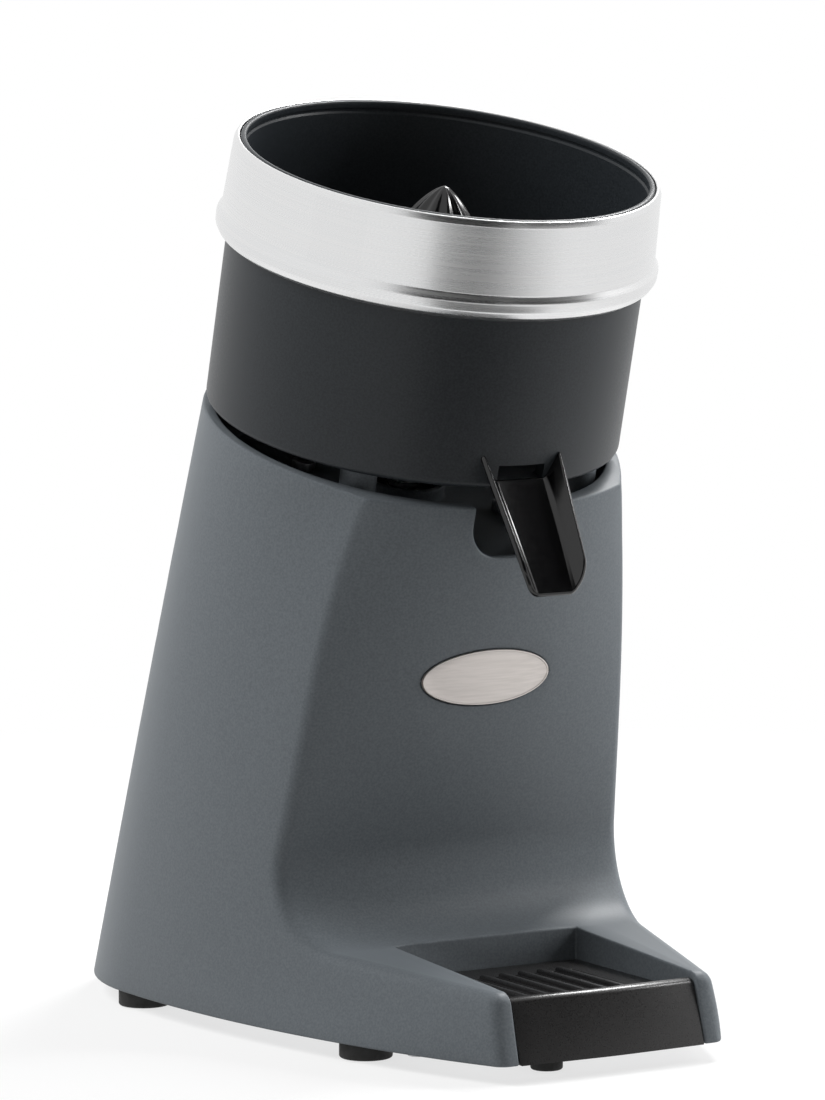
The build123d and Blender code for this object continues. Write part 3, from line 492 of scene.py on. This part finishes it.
# Gland at the back for a mains cord: a moulding in the same black plastic.
# It is screwed in from outside, with a nut inside the casting.
gland = softened_copy("cable_gland", "cord_gland", edge=0.0006)
dress(gland, black_plastic, "housing", "black_plastic", "cable_gland")


# Drip tray: one moulding in fine grained black plastic, an open pan behind a front panel that
# closes the toe. The panel leans back, is bent slightly at its middle and has a round along its
# top front edge.
tray_black = new_finish("tray_black", (0.014, 0.0135, 0.0135), roughness=0.3)
dull(tray_black, share=0.45)
tray_grain = speckle(tray_black, scale=1800.0, detail=3.0)
tint(tray_black, tray_grain, (0.010, 0.0095, 0.0095), (0.019, 0.018, 0.018))
vary_gloss(tray_black, tray_grain, smooth=0.26, rough=0.34)
relief(tray_black, tray_grain, depth=0.00004, strength=0.3)
panel_half_width = 0.040
panel_low = 0.0065
panel_high = 0.030
panel_front_y = -0.149
panel_bow = 0.0014
panel_thickness = 0.003
panel_top_round = 0.0022
panel_edge_round = 0.0004
panel_edge_reach = 0.0015
panel_lean = math.radians(19.0)
panel_bends = (-0.007, -0.0035, 0.0, 0.0035, 0.007)
same_place = 0.00005

bpy.ops.object.select_all(action="DESELECT")
bpy.ops.mesh.primitive_cube_add(
    size=1.0,
    location=(0, panel_front_y + panel_thickness / 2, (panel_low + panel_high) / 2),
)
tray = bpy.context.object
tray.scale = (2 * panel_half_width, panel_thickness, panel_high - panel_low)
bpy.ops.object.transform_apply(location=True, rotation=True, scale=True)
bpy.ops.object.mode_set(mode="EDIT")
for x in panel_bends:
    bpy.ops.mesh.select_all(action="SELECT")
    bpy.ops.mesh.bisect(plane_co=(x, 0, 0), plane_no=(1, 0, 0))
bend_end = panel_bends[-1]
for x in sorted({-panel_half_width, *panel_bends, panel_half_width}):
    share = abs(x) / panel_half_width
    soften = bend_end / 2 / panel_half_width * (1 - min(1.0, abs(x) / bend_end)) ** 2
    select_parts(tray, "VERT", lambda vert: abs(vert.co.x - x) < same_place)
    bpy.ops.transform.translate(value=(0, panel_bow * (share + soften), 0))
panel_set_back = (panel_high - panel_low) * math.tan(panel_lean)
select_parts(tray, "VERT", lambda vert: vert.co.z > (panel_low + panel_high) / 2)
bpy.ops.transform.translate(value=(0, panel_set_back, 0))
panel_top_middle_y = panel_front_y + panel_thickness / 2 + panel_set_back
select_parts(
    tray,
    "EDGE",
    lambda edge: min(v.co.z for v in edge.verts) > panel_high - same_place
    and is_sharp(edge)
    and max(v.co.y for v in edge.verts) < panel_top_middle_y + panel_bow / 2,
)
bpy.ops.mesh.bevel(offset=panel_top_round, segments=6, clamp_overlap=False)
select_parts(
    tray,
    "EDGE",
    lambda edge: is_sharp(edge)
    and min(abs(v.co.x) for v in edge.verts) > panel_half_width - panel_edge_reach,
)
bpy.ops.mesh.bevel(offset=panel_edge_round, segments=2, clamp_overlap=False)
bpy.ops.object.mode_set(mode="OBJECT")

pan_half_width = 0.0394
pan_back_y = -0.0593
pan_middle_y = -0.1
pan_floor_z = 0.0124
pan_top_z = 0.023
pan_wall = 0.002
pan_corner_round = 0.0012
pan_front_low = -0.1450
pan_front_high = -0.1411
bpy.ops.object.select_all(action="DESELECT")
bpy.ops.mesh.primitive_cube_add(
    size=1.0,
    location=(0, (pan_front_low + pan_back_y) / 2, (pan_floor_z + pan_top_z) / 2),
)
pan = bpy.context.object
pan.scale = (2 * pan_half_width, pan_back_y - pan_front_low, pan_top_z - pan_floor_z)
bpy.ops.object.transform_apply(location=True, rotation=True, scale=True)
bpy.ops.object.mode_set(mode="EDIT")
select_parts(
    pan,
    "VERT",
    lambda vert: vert.co.y < pan_middle_y and vert.co.z > (pan_floor_z + pan_top_z) / 2,
)
bpy.ops.transform.translate(value=(0, pan_front_high - pan_front_low, 0))
select_parts(
    pan,
    "EDGE",
    lambda edge: abs(edge.verts[0].co.z - edge.verts[1].co.z) > same_place
    and min(v.co.y for v in edge.verts) > pan_middle_y,
)
bpy.ops.mesh.bevel(offset=pan_corner_round, segments=4)
select_parts(pan, "FACE", lambda face: face.normal.z > flat_normal)
bpy.ops.mesh.inset(thickness=pan_wall)
pan_sink = pan_floor_z + pan_wall - pan_top_z
bpy.ops.mesh.extrude_region_move(TRANSFORM_OT_translate={"value": (0, 0, pan_sink)})
bpy.ops.object.mode_set(mode="OBJECT")
select_only(tray)
union = tray.modifiers.new("one_moulding", "BOOLEAN")
union.operation = "UNION"
union.solver = "EXACT"
union.object = pan
bpy.ops.object.modifier_apply(modifier=union.name)
bpy.data.objects.remove(pan)
tray.name = "tray_moulding"
bpy.ops.object.shade_smooth_by_angle(angle=smooth_angle)
dress(tray, tray_black, "tray", "tray_black", "drip_tray")


# Drip grid: a plate with seven slots and six raised ribs, moulded like the tray and laid loose
# on its walls. The ribs are rounded along their tops and at their back ends, and the plate's
# front follows the panel.
grid_half_width = 0.040
grid_back_y = -0.0593
grid_front_y = -0.1380
grid_low = 0.023
grid_plate = 0.002
rib_rise = 0.0016
rib_back_y = -0.0769
slot_front_y = -0.113
rib_pitch = 0.0084
rib_half = 0.0015
rib_round = 0.0009
slot_half = 0.002
grid_edge_round = 0.0003
rib_middles = [(i - 2.5) * rib_pitch for i in range(6)]
slot_middles = [(i - 3) * rib_pitch for i in range(7)]
grid_columns = [-grid_half_width, grid_half_width]
grid_columns += [middle + side * rib_half for middle in rib_middles for side in (-1, 1)]
grid_columns += [middle + side * slot_half for middle in slot_middles for side in (-1, 1)]
grid_rows = [grid_front_y, slot_front_y, rib_back_y, grid_back_y]
last_column = len(grid_columns) - 1
last_row = len(grid_rows) - 1
bpy.ops.object.select_all(action="DESELECT")
bpy.ops.mesh.primitive_grid_add(x_subdivisions=last_column, y_subdivisions=last_row, size=2.0)
grid = bpy.context.object
grid.name = "slotted_grid"
bpy.ops.object.mode_set(mode="EDIT")
for i, x in enumerate(sorted(grid_columns)):
    drawn_x = 2 * i / last_column - 1
    select_parts(grid, "VERT", lambda vert: abs(vert.co.x - drawn_x) < same_place)
    bpy.ops.transform.translate(value=(x - drawn_x, 0, 0))
for i, y in enumerate(grid_rows):
    drawn_y = 2 * i / last_row - 1
    select_parts(grid, "VERT", lambda vert: abs(vert.co.y - drawn_y) < same_place)
    bpy.ops.transform.translate(value=(0, y - drawn_y, 0))
bpy.ops.mesh.select_all(action="SELECT")
bpy.ops.transform.translate(value=(0, 0, grid_low + grid_plate))
for x in grid_columns:
    select_parts(
        grid,
        "VERT",
        lambda vert: abs(vert.co.x - x) < same_place and abs(vert.co.y - grid_front_y) < same_place,
    )
    bpy.ops.transform.translate(value=(0, panel_bow * abs(x) / panel_half_width, 0))


def lies_in(face, middles, half, low_y, high_y):
    """True for a face in a row of strips, between two places along them."""
    middle = face.calc_center_median()
    return low_y < middle.y < high_y and any(abs(middle.x - x) < half for x in middles)


select_parts(
    grid,
    "FACE",
    lambda face: lies_in(face, slot_middles, slot_half, slot_front_y, rib_back_y),
)
bpy.ops.mesh.delete(type="FACE")
bpy.ops.object.mode_set(mode="OBJECT")
plate_depth = grid.modifiers.new("plate", "SOLIDIFY")
plate_depth.thickness = grid_plate
plate_depth.offset = -1.0
bpy.ops.object.modifier_apply(modifier=plate_depth.name)
bpy.ops.object.mode_set(mode="EDIT")
select_parts(
    grid,
    "FACE",
    lambda face: face.normal.z > flat_normal
    and lies_in(face, rib_middles, rib_half, grid_front_y, rib_back_y),
)
bpy.ops.mesh.extrude_region_move(TRANSFORM_OT_translate={"value": (0, 0, rib_rise)})
rib_top = grid_low + grid_plate + rib_rise
select_parts(
    grid,
    "EDGE",
    lambda edge: is_sharp(edge) and min(v.co.z for v in edge.verts) > rib_top - same_place,
)
bpy.ops.mesh.bevel(offset=rib_round, segments=4, clamp_overlap=False)
select_parts(grid, "EDGE", is_sharp)
bpy.ops.mesh.bevel(offset=grid_edge_round, segments=2, clamp_overlap=True)
bpy.ops.object.mode_set(mode="OBJECT")
bpy.ops.object.shade_smooth_by_angle(angle=smooth_angle)
dress(grid, tray_black, "tray", "tray_black", "drip_grid")


# Bowl: a satin black moulding with a chimney for the shaft, a ledge for the strainer and a
# locating ring below. A window in its wall opens into the spout, and a shallow groove runs
# round inside the lip.
corner_steps = 5
millimetres_in_metre = 1000


def rounded(corners):
    """Points of a closed profile, from each corner's radius, height and rounding in millimetres."""
    points = []
    count = len(corners)
    for i, (r, z, size) in enumerate(corners):
        here = Vector((r, z))
        if not size:
            points.append(here)
            continue
        before = (Vector(corners[i - 1][:2]) - here).normalized()
        after = (Vector(corners[(i + 1) % count][:2]) - here).normalized()
        half = before.angle(after) / 2
        start = here + before * size / math.tan(half)
        end = here + after * size / math.tan(half)
        middle = here + (before + after).normalized() * (size / math.sin(half))
        for k in range(corner_steps + 1):
            swing = (start - middle).lerp(end - middle, k / corner_steps).normalized()
            points.append(middle + swing * size)
    return points


def turned(name, corners, steps):
    """Turns a closed profile round the upright axis."""
    points = [Vector((p.x, 0, p.y)) / millimetres_in_metre for p in rounded(corners)]
    bpy.ops.object.select_all(action="DESELECT")
    bpy.ops.mesh.primitive_plane_add(size=0.001)
    piece = bpy.context.object
    piece.name = name
    bpy.ops.object.mode_set(mode="EDIT")
    bpy.ops.mesh.select_mode(type="VERT")
    bpy.ops.mesh.select_all(action="SELECT")
    bpy.ops.mesh.merge(type="CENTER")
    bpy.ops.transform.translate(value=points[0])
    for before, after in zip(points, points[1:]):
        bpy.ops.mesh.extrude_vertices_move(TRANSFORM_OT_translate={"value": after - before})
    mesh = bmesh.from_edit_mesh(piece.data)
    mesh.verts.ensure_lookup_table()
    ends = [v for v in mesh.verts if len(v.link_edges) == 1]
    mesh.edges.new(ends)
    bmesh.update_edit_mesh(piece.data)
    bpy.ops.mesh.select_all(action="SELECT")
    bpy.ops.mesh.spin(steps=steps, angle=math.radians(360), center=(0, 0, 0), axis=(0, 0, 1))
    bpy.ops.mesh.select_all(action="SELECT")
    bpy.ops.mesh.remove_doubles(threshold=0.000002)
    bpy.ops.mesh.normals_make_consistent(inside=False)
    bpy.ops.object.mode_set(mode="OBJECT")
    return piece


satin_black = new_finish("satin_black", (0.016, 0.019, 0.022), roughness=0.4)
dull(satin_black, share=0.28)
satin_cloud = speckle(satin_black, scale=1300.0, detail=3.0)
tint(satin_black, satin_cloud, (0.013, 0.0155, 0.018), (0.021, 0.0245, 0.028))
vary_gloss(satin_black, satin_cloud, smooth=0.36, rough=0.46)
relief(satin_black, satin_cloud, depth=0.00003, strength=0.25)
bowl_profile = [
    (79.5, 0.0, 2.4),
    (79.5, 65.6, 0.3),
    (78.85, 65.6, 0.0),
    (78.85, 103.5, 1.0),
    (76.5, 103.5, 0.9),
    (76.5, 101.0, 0.3),
    (77.1, 100.2, 0.0),
    (77.1, 99.6, 0.0),
    (76.5, 98.8, 0.3),
    (76.5, 40.0, 0.0),
    (74.0, 40.0, 0.4),
    (74.0, 3.0, 2.5),
    (14.0, 3.0, 2.5),
    (14.0, 46.0, 0.4),
    (11.0, 46.0, 0.4),
    (11.0, 0.0, 0.4),
    (53.0, 0.0, 0.0),
    (53.0, -7.0, 0.6),
    (56.0, -7.0, 0.6),
    (56.0, 0.0, 0.0),
]
window_middle = (0, -0.075, 0.006)
window_size = (0.020, 0.030, 0.006)
bowl = turned("moulded_bowl", bowl_profile, steps=144)
bpy.ops.object.select_all(action="DESELECT")
bpy.ops.mesh.primitive_cube_add(size=1.0, location=window_middle)
window = bpy.context.object
window.scale = window_size
bpy.ops.object.transform_apply(location=True, rotation=True, scale=True)
cut(bowl, window)
set_on_axis(bowl)
bpy.ops.object.shade_smooth_by_angle(angle=corner_angle)
dress(bowl, satin_black, "bowl", "satin_black", "juice_bowl")


# Band: spun from bright sheet metal to fit round the bowl's rim, with a rolled top edge and a
# bead at its foot. A fine satin brush runs along it.
satin_band = new_finish("satin_band", (0.75, 0.75, 0.75), roughness=0.28, metallic=1.0)
brush_lines = speckle(
    satin_band, scale=1500.0, stretch=(0.006, 0.006, 1), turn=axis_lean, detail=3.0
)
tint(satin_band, brush_lines, (0.735, 0.74, 0.745), (0.765, 0.765, 0.765))
vary_gloss(satin_band, brush_lines, smooth=0.25, rough=0.30)
relief(satin_band, brush_lines, depth=0.000003, strength=0.1)
band_profile = [
    (80.1, 103.5, 0.5),
    (81.2, 101.2, 1.5),
    (82.6, 75.6, 1.6),
    (84.3, 73.0, 2.0),
    (84.25, 69.6, 2.0),
    (82.9, 67.2, 2.0),
    (80.6, 65.6, 0.4),
    (79.6, 65.7, 0.3),
    (82.0, 68.0, 1.0),
    (82.9, 71.0, 1.5),
    (81.4, 75.2, 0.5),
    (80.0, 100.6, 1.0),
    (78.95, 103.4, 0.4),
]
band = turned("spun_band", band_profile, steps=192)
set_on_axis(band)
bpy.ops.object.shade_smooth_by_angle(angle=corner_angle)
dress(band, satin_band, "bowl", "satin_band", "splash_band")


# Spout: an open channel with slanted sides, moulded in gloss black and welded over the bowl's
# window. Its floor and sides meet in a round, and its sides are rounded off at the lip.
gloss_black = new_finish("gloss_black", (0.004, 0.004, 0.0045), roughness=0.16)
polish = speckle(gloss_black, scale=500.0, detail=3.0)
tint(gloss_black, polish, (0.003, 0.003, 0.0035), (0.005, 0.005, 0.0055))
vary_gloss(gloss_black, polish, smooth=0.15, rough=0.18)
relief(gloss_black, speckle(gloss_black, scale=60.0), depth=0.0001, strength=0.03)
spout_sheet = 0.0022
spout_root_y = -0.0772
spout_lip_y = -0.1120
spout_drop = 0.0310
root_top = 0.0180
root_foot = 0.0125
root_side = 0.0104
lip_top = 0.0145
lip_foot = 0.0095
lip_side = 0.0094
root_low = 0.0022
lip_corner_round = 0.0055
floor_round = 0.0026
lip_edge_round = 0.0008
lip_edge_angle = math.radians(50)
near = 0.01
bpy.ops.object.select_all(action="DESELECT")
bpy.ops.mesh.primitive_grid_add(x_subdivisions=3, y_subdivisions=1, size=1.0)
spout = bpy.context.object
spout.name = "open_spout"
bpy.ops.object.mode_set(mode="EDIT")
columns = (
    (-1 / 2, root_top, lip_top, 1),
    (-1 / 6, root_foot, lip_foot, 0),
    (1 / 6, root_foot, lip_foot, 0),
    (1 / 2, root_top, lip_top, 1),
)
for column, at_root, at_lip, raised in columns:
    side = 1 if column > 0 else -1
    for end, half, y, z in (
        (0.5, at_root, spout_root_y, root_low + raised * root_side),
        (-0.5, at_lip, spout_lip_y, -spout_drop + raised * lip_side),
    ):
        select_parts(
            spout,
            "VERT",
            lambda vert: abs(vert.co.x - column) < near and abs(vert.co.y - end) < near,
        )
        bpy.ops.transform.translate(value=(side * half - column, y - end, z))
spout_middle_y = (spout_root_y + spout_lip_y) / 2
select_parts(
    spout,
    "VERT",
    lambda vert: vert.co.y < spout_middle_y and abs(vert.co.x) > (lip_top + lip_foot) / 2,
)
bpy.ops.mesh.bevel(offset=lip_corner_round, segments=6, affect="VERTICES")
select_parts(spout, "EDGE", lambda edge: len(edge.link_faces) == 2)
bpy.ops.mesh.bevel(offset=floor_round, segments=5, affect="EDGES")
bpy.ops.mesh.select_all(action="SELECT")
bpy.ops.mesh.normals_make_consistent(inside=False)
bpy.ops.object.mode_set(mode="OBJECT")
channel = spout.modifiers.new("wall", "SOLIDIFY")
channel.thickness = spout_sheet
channel.offset = 1.0
channel.use_even_offset = True
bpy.ops.object.modifier_apply(modifier=channel.name)
lip_round = spout.modifiers.new("edges", "BEVEL")
lip_round.width = lip_edge_round
lip_round.segments = 3
lip_round.angle_limit = lip_edge_angle
bpy.ops.object.modifier_apply(modifier=lip_round.name)
set_on_axis(spout)
bpy.ops.object.shade_smooth_by_angle(angle=smooth_angle)
dress(spout, gloss_black, "bowl", "gloss_black", "pouring_spout")


# Drive hub and bush: two mouldings in natural plastic over the bowl's chimney.
# The bush is pressed on to the chimney, and the hub turns on it and carries the reamer.
bush = softened_copy("hub_bush", "chimney_bush", edge=0.0003)
dress(bush, pale_plastic, "bowl", "pale_plastic", "hub_bush")
hub = softened_copy("reamer_hub", "drive_hub", edge=0.0005)
dress(hub, pale_plastic, "hub", "pale_plastic", "reamer_hub")


# Strainer: stamped from stainless sheet, with radial slots and an upturned collar.
# It lies loose on the bowl's ledge.
strainer_steel = new_finish("strainer_steel", (0.60, 0.60, 0.60), roughness=0.3, metallic=1.0)
rolled = speckle(strainer_steel, scale=900.0, stretch=(1, 0.04, 1), detail=4.0)
tint(strainer_steel, rolled, (0.58, 0.58, 0.585), (0.62, 0.62, 0.62))
vary_gloss(strainer_steel, rolled, smooth=0.27, rough=0.32)
strainer = softened_copy("pulp_strainer", "slotted_strainer")
dress(strainer, strainer_steel, "strainer", "strainer_steel", "pulp_strainer")


# Reamer: a gloss black dome with ten rounded ribs that run up to a blunt tip.
# It is moulded hollow and drops over the hub, where a hexagon turns it.
rib_count = 10
rib_columns = 4
reamer_base_radius = 0.031
reamer_base_z = 0.043
reamer_height = 0.050
valley_share = 0.85
flank_share = 0.935
ring_crowding = 1.6
dome_fall = 1.3
dome_fullness = 1.4
wall_hollow_radius = 0.0235
hollow_low = 0.030
hub_hollows = ((64, 0.0203, 0.0532), (6, 0.01315, 0.0653))
rib_smooth_angle = math.radians(45)
bpy.ops.object.select_all(action="DESELECT")
bpy.ops.mesh.primitive_circle_add(
    vertices=rib_count * rib_columns,
    radius=reamer_base_radius,
    fill_type="NOTHING",
    location=(0, 0, reamer_base_z),
)
reamer = bpy.context.object
reamer.name = "ribbed_reamer"
bpy.ops.object.transform_apply(location=True, rotation=True, scale=True)
bpy.ops.object.mode_set(mode="EDIT")
bpy.ops.mesh.select_all(action="SELECT")
ring_count = 12
ring_radius = reamer_base_radius
ring_z = reamer_base_z
for ring in range(1, ring_count):
    share = 1 - (1 - ring / ring_count) ** ring_crowding
    next_radius = reamer_base_radius * (1 - share**dome_fall) ** (1 / dome_fullness)
    next_z = reamer_base_z + share * reamer_height
    bpy.ops.mesh.extrude_edges_move(TRANSFORM_OT_translate={"value": (0, 0, next_z - ring_z)})
    grow = next_radius / ring_radius
    bpy.ops.transform.resize(value=(grow, grow, 1), center_override=(0, 0, next_z))
    ring_radius = next_radius
    ring_z = next_z
tip_rise = reamer_base_z + reamer_height - ring_z
bpy.ops.mesh.extrude_edges_move(TRANSFORM_OT_translate={"value": (0, 0, tip_rise)})
bpy.ops.mesh.merge(type="CENTER")


def rib_column(vert):
    """Which of a rib's columns a vertex stands in, 0 on the crest."""
    turn = math.atan2(vert.co.y, vert.co.x) / (2 * math.pi) * rib_count * rib_columns
    return round(turn) % rib_columns


select_parts(reamer, "VERT", lambda vert: rib_column(vert) == 2)
bpy.ops.transform.resize(value=(valley_share, valley_share, 1), center_override=(0, 0, 0))
select_parts(reamer, "VERT", lambda vert: rib_column(vert) % 2 == 1)
bpy.ops.transform.resize(value=(flank_share, flank_share, 1), center_override=(0, 0, 0))
select_parts(reamer, "EDGE", lambda edge: len(edge.link_faces) == 1)
bpy.ops.transform.edge_crease(value=1.0)
bpy.ops.mesh.extrude_edges_move(TRANSFORM_OT_translate={"value": (0, 0, 0)})
hollow_share = wall_hollow_radius / reamer_base_radius
bpy.ops.transform.resize(
    value=(hollow_share, hollow_share, 1), center_override=(0, 0, reamer_base_z)
)
bpy.ops.mesh.edge_face_add()
bpy.ops.mesh.select_all(action="SELECT")
bpy.ops.mesh.normals_make_consistent(inside=False)
bpy.ops.object.mode_set(mode="OBJECT")
smooth_ribs = reamer.modifiers.new("smooth_ribs", "SUBSURF")
smooth_ribs.levels = 3
smooth_ribs.render_levels = 3
bpy.ops.object.modifier_apply(modifier=smooth_ribs.name)
for sides, radius, top in hub_hollows:
    bpy.ops.object.select_all(action="DESELECT")
    bpy.ops.mesh.primitive_cylinder_add(
        vertices=sides,
        radius=radius,
        depth=top - hollow_low,
        location=(0, 0, (top + hollow_low) / 2),
        rotation=(0, 0, math.radians(30)),
    )
    hollow = bpy.context.object
    bpy.ops.object.transform_apply(location=True, rotation=True, scale=True)
    cut(reamer, hollow)
set_on_axis(reamer)
bpy.ops.object.shade_smooth_by_angle(angle=rib_smooth_angle)
dress(reamer, gloss_black, "reamer", "gloss_black", "reamer_cone")


# Stage: a plain white floor under a white surround, lit by large soft lamps from the left, the
# right and above. Dark flags that only reflections see keep the blacks black, and a small lamp
# picks out the edges.
def soft_lamp(name, place, aim, size, power):
    """A square area lamp that points at a place on the object."""
    lamp = bpy.data.objects.new(name, bpy.data.lights.new(name, "AREA"))
    bpy.context.scene.collection.objects.link(lamp)
    lamp.location = place
    lamp.rotation_euler = (Vector(aim) - Vector(place)).to_track_quat("-Z", "Y").to_euler()
    lamp.data.size = size
    lamp.data.energy = power
    return lamp


def ray_share(finish):
    """1 for rays that show the stage to the eye, straight, mirrored or through glass, else 0."""
    rays = finish.node_tree.nodes.new("ShaderNodeLightPath")
    straight = finish.node_tree.nodes.new("ShaderNodeMath")
    straight.operation = "MAXIMUM"
    either = finish.node_tree.nodes.new("ShaderNodeMath")
    either.operation = "MAXIMUM"
    join(finish, rays.outputs["Is Camera Ray"], straight, 0)
    join(finish, rays.outputs["Is Glossy Ray"], straight, 1)
    join(finish, straight.outputs["Value"], either, 0)
    join(finish, rays.outputs["Is Transmission Ray"], either, 1)
    return either.outputs["Value"]


floor_width = 40.0
floor_z = -0.0003
bpy.ops.object.select_all(action="DESELECT")
bpy.ops.mesh.primitive_plane_add(size=floor_width, location=(0, 0, floor_z))
floor = bpy.context.object
floor.name = "floor"
floor_white = bpy.data.materials.new("floor_white")
floor_white.use_nodes = True
floor_tree = floor_white.node_tree
floor_tree.nodes.remove(floor_tree.nodes["Principled BSDF"])
floor_paper = add_node(floor_white, "ShaderNodeBsdfDiffuse", Color=(0.9, 0.9, 0.9, 1))
floor_bounce = add_node(floor_white, "ShaderNodeBsdfDiffuse", Color=(0.6, 0.6, 0.6, 1))
floor_glow = add_node(floor_white, "ShaderNodeEmission", Color=(1, 1, 1, 1), Strength=1.0)
floor_place = floor_tree.nodes.new("ShaderNodeTexCoord")
floor_reach = floor_tree.nodes.new("ShaderNodeVectorMath")
floor_reach.operation = "LENGTH"
join(floor_white, floor_place.outputs["Object"], floor_reach, 0)
shadow_share = spread(
    floor_white, floor_reach.outputs["Value"], start=0.25, end=0.8, at_start=0.3, at_end=0.0
)
floor_seen = floor_tree.nodes.new("ShaderNodeMixShader")
floor_mix = floor_tree.nodes.new("ShaderNodeMixShader")
join(floor_white, shadow_share, floor_seen, 0)
join(floor_white, floor_glow.outputs["Emission"], floor_seen, 1)
join(floor_white, floor_paper.outputs["BSDF"], floor_seen, 2)
join(floor_white, ray_share(floor_white), floor_mix, 0)
join(floor_white, floor_bounce.outputs["BSDF"], floor_mix, 1)
join(floor_white, floor_seen.outputs["Shader"], floor_mix, 2)
join(floor_white, floor_mix.outputs["Shader"], floor_tree.nodes["Material Output"], "Surface")
floor.data.materials.append(floor_white)

flag_cloth = new_finish("flag_cloth", (0.12, 0.12, 0.12), roughness=1.0)
dull(flag_cloth, share=0.0)
flag_place = flag_cloth.node_tree.nodes.new("ShaderNodeTexCoord")
flag_across = flag_cloth.node_tree.nodes.new("ShaderNodeSeparateXYZ")
join(flag_cloth, flag_place.outputs["Object"], flag_across, "Vector")
flag_fade = spread(
    flag_cloth, flag_across.outputs["X"], start=-0.05, end=0.35, at_start=1.0, at_end=0.0
)
join(flag_cloth, flag_fade, flag_cloth.node_tree.nodes["Principled BSDF"], "Alpha")
flag_black = new_finish("flag_black", (0.02, 0.02, 0.02), roughness=1.0)
dull(flag_black, share=0.0)
flags = (
    ("floor_flag", flag_cloth, (-0.019, -0.795, 0.0005), (0.85, 0.80), 0, -36),
    ("front_flag", flag_black, (-0.9, -3.0, 1.6), (3.0, 3.0), 90, -17),
    ("spout_flag", flag_black, (0.66, -1.02, 1.10), (1.2, 1.2), 48, 36),
)
for name, cloth, place, size, tip, turn in flags:
    bpy.ops.object.select_all(action="DESELECT")
    bpy.ops.mesh.primitive_plane_add(
        size=1.0, location=place, rotation=(math.radians(tip), 0, math.radians(turn))
    )
    flag = bpy.context.object
    flag.name = name
    flag.scale = (*size, 1)
    flag.visible_camera = False
    flag.visible_diffuse = False
    flag.visible_shadow = False
    flag.data.materials.append(cloth)

side_lamps = (
    soft_lamp("left_lamp", place=(-1.15, 0.55, 1.4), aim=(0, 0, 0.15), size=1.1, power=31.0),
    soft_lamp("right_lamp", place=(1.6, -0.40, 0.6), aim=(0, 0, 0.15), size=1.1, power=28.0),
)
for lamp in side_lamps:
    lamp.visible_glossy = False
soft_lamp("top_lamp", place=(0.95, 0.45, 1.45), aim=(0, 0, 0.2), size=0.5, power=26.0)
soft_lamp("edge_lamp", place=(1.2, -0.41, 1.07), aim=(0, -0.1, 0.15), size=0.2, power=4.5)

surround = bpy.data.worlds.new("white_surround")
bpy.context.scene.world = surround
surround.use_nodes = True
sky = surround.node_tree.nodes["Background"]
sky.inputs["Color"].default_value = (1, 1, 1, 1)
level = spread(surround, ray_share(surround), start=0.0, end=1.0, at_start=0.15, at_end=1.0)
join(surround, level, sky, "Strength")

camera = bpy.data.objects.new("camera", bpy.data.cameras.new("camera"))
bpy.context.scene.collection.objects.link(camera)
camera.location = (-1.1465, -1.9039, 0.4189)
camera_aim = Vector((-0.01587, -0.0315, 0.18232))
camera.rotation_euler = (camera_aim - camera.location).to_track_quat("-Z", "Y").to_euler()
camera.data.lens = 190.64
camera.data.sensor_width = 36.0
camera.data.clip_end = 50.0
bpy.context.scene.camera = camera
bpy.context.scene.view_settings.view_transform = "Standard"
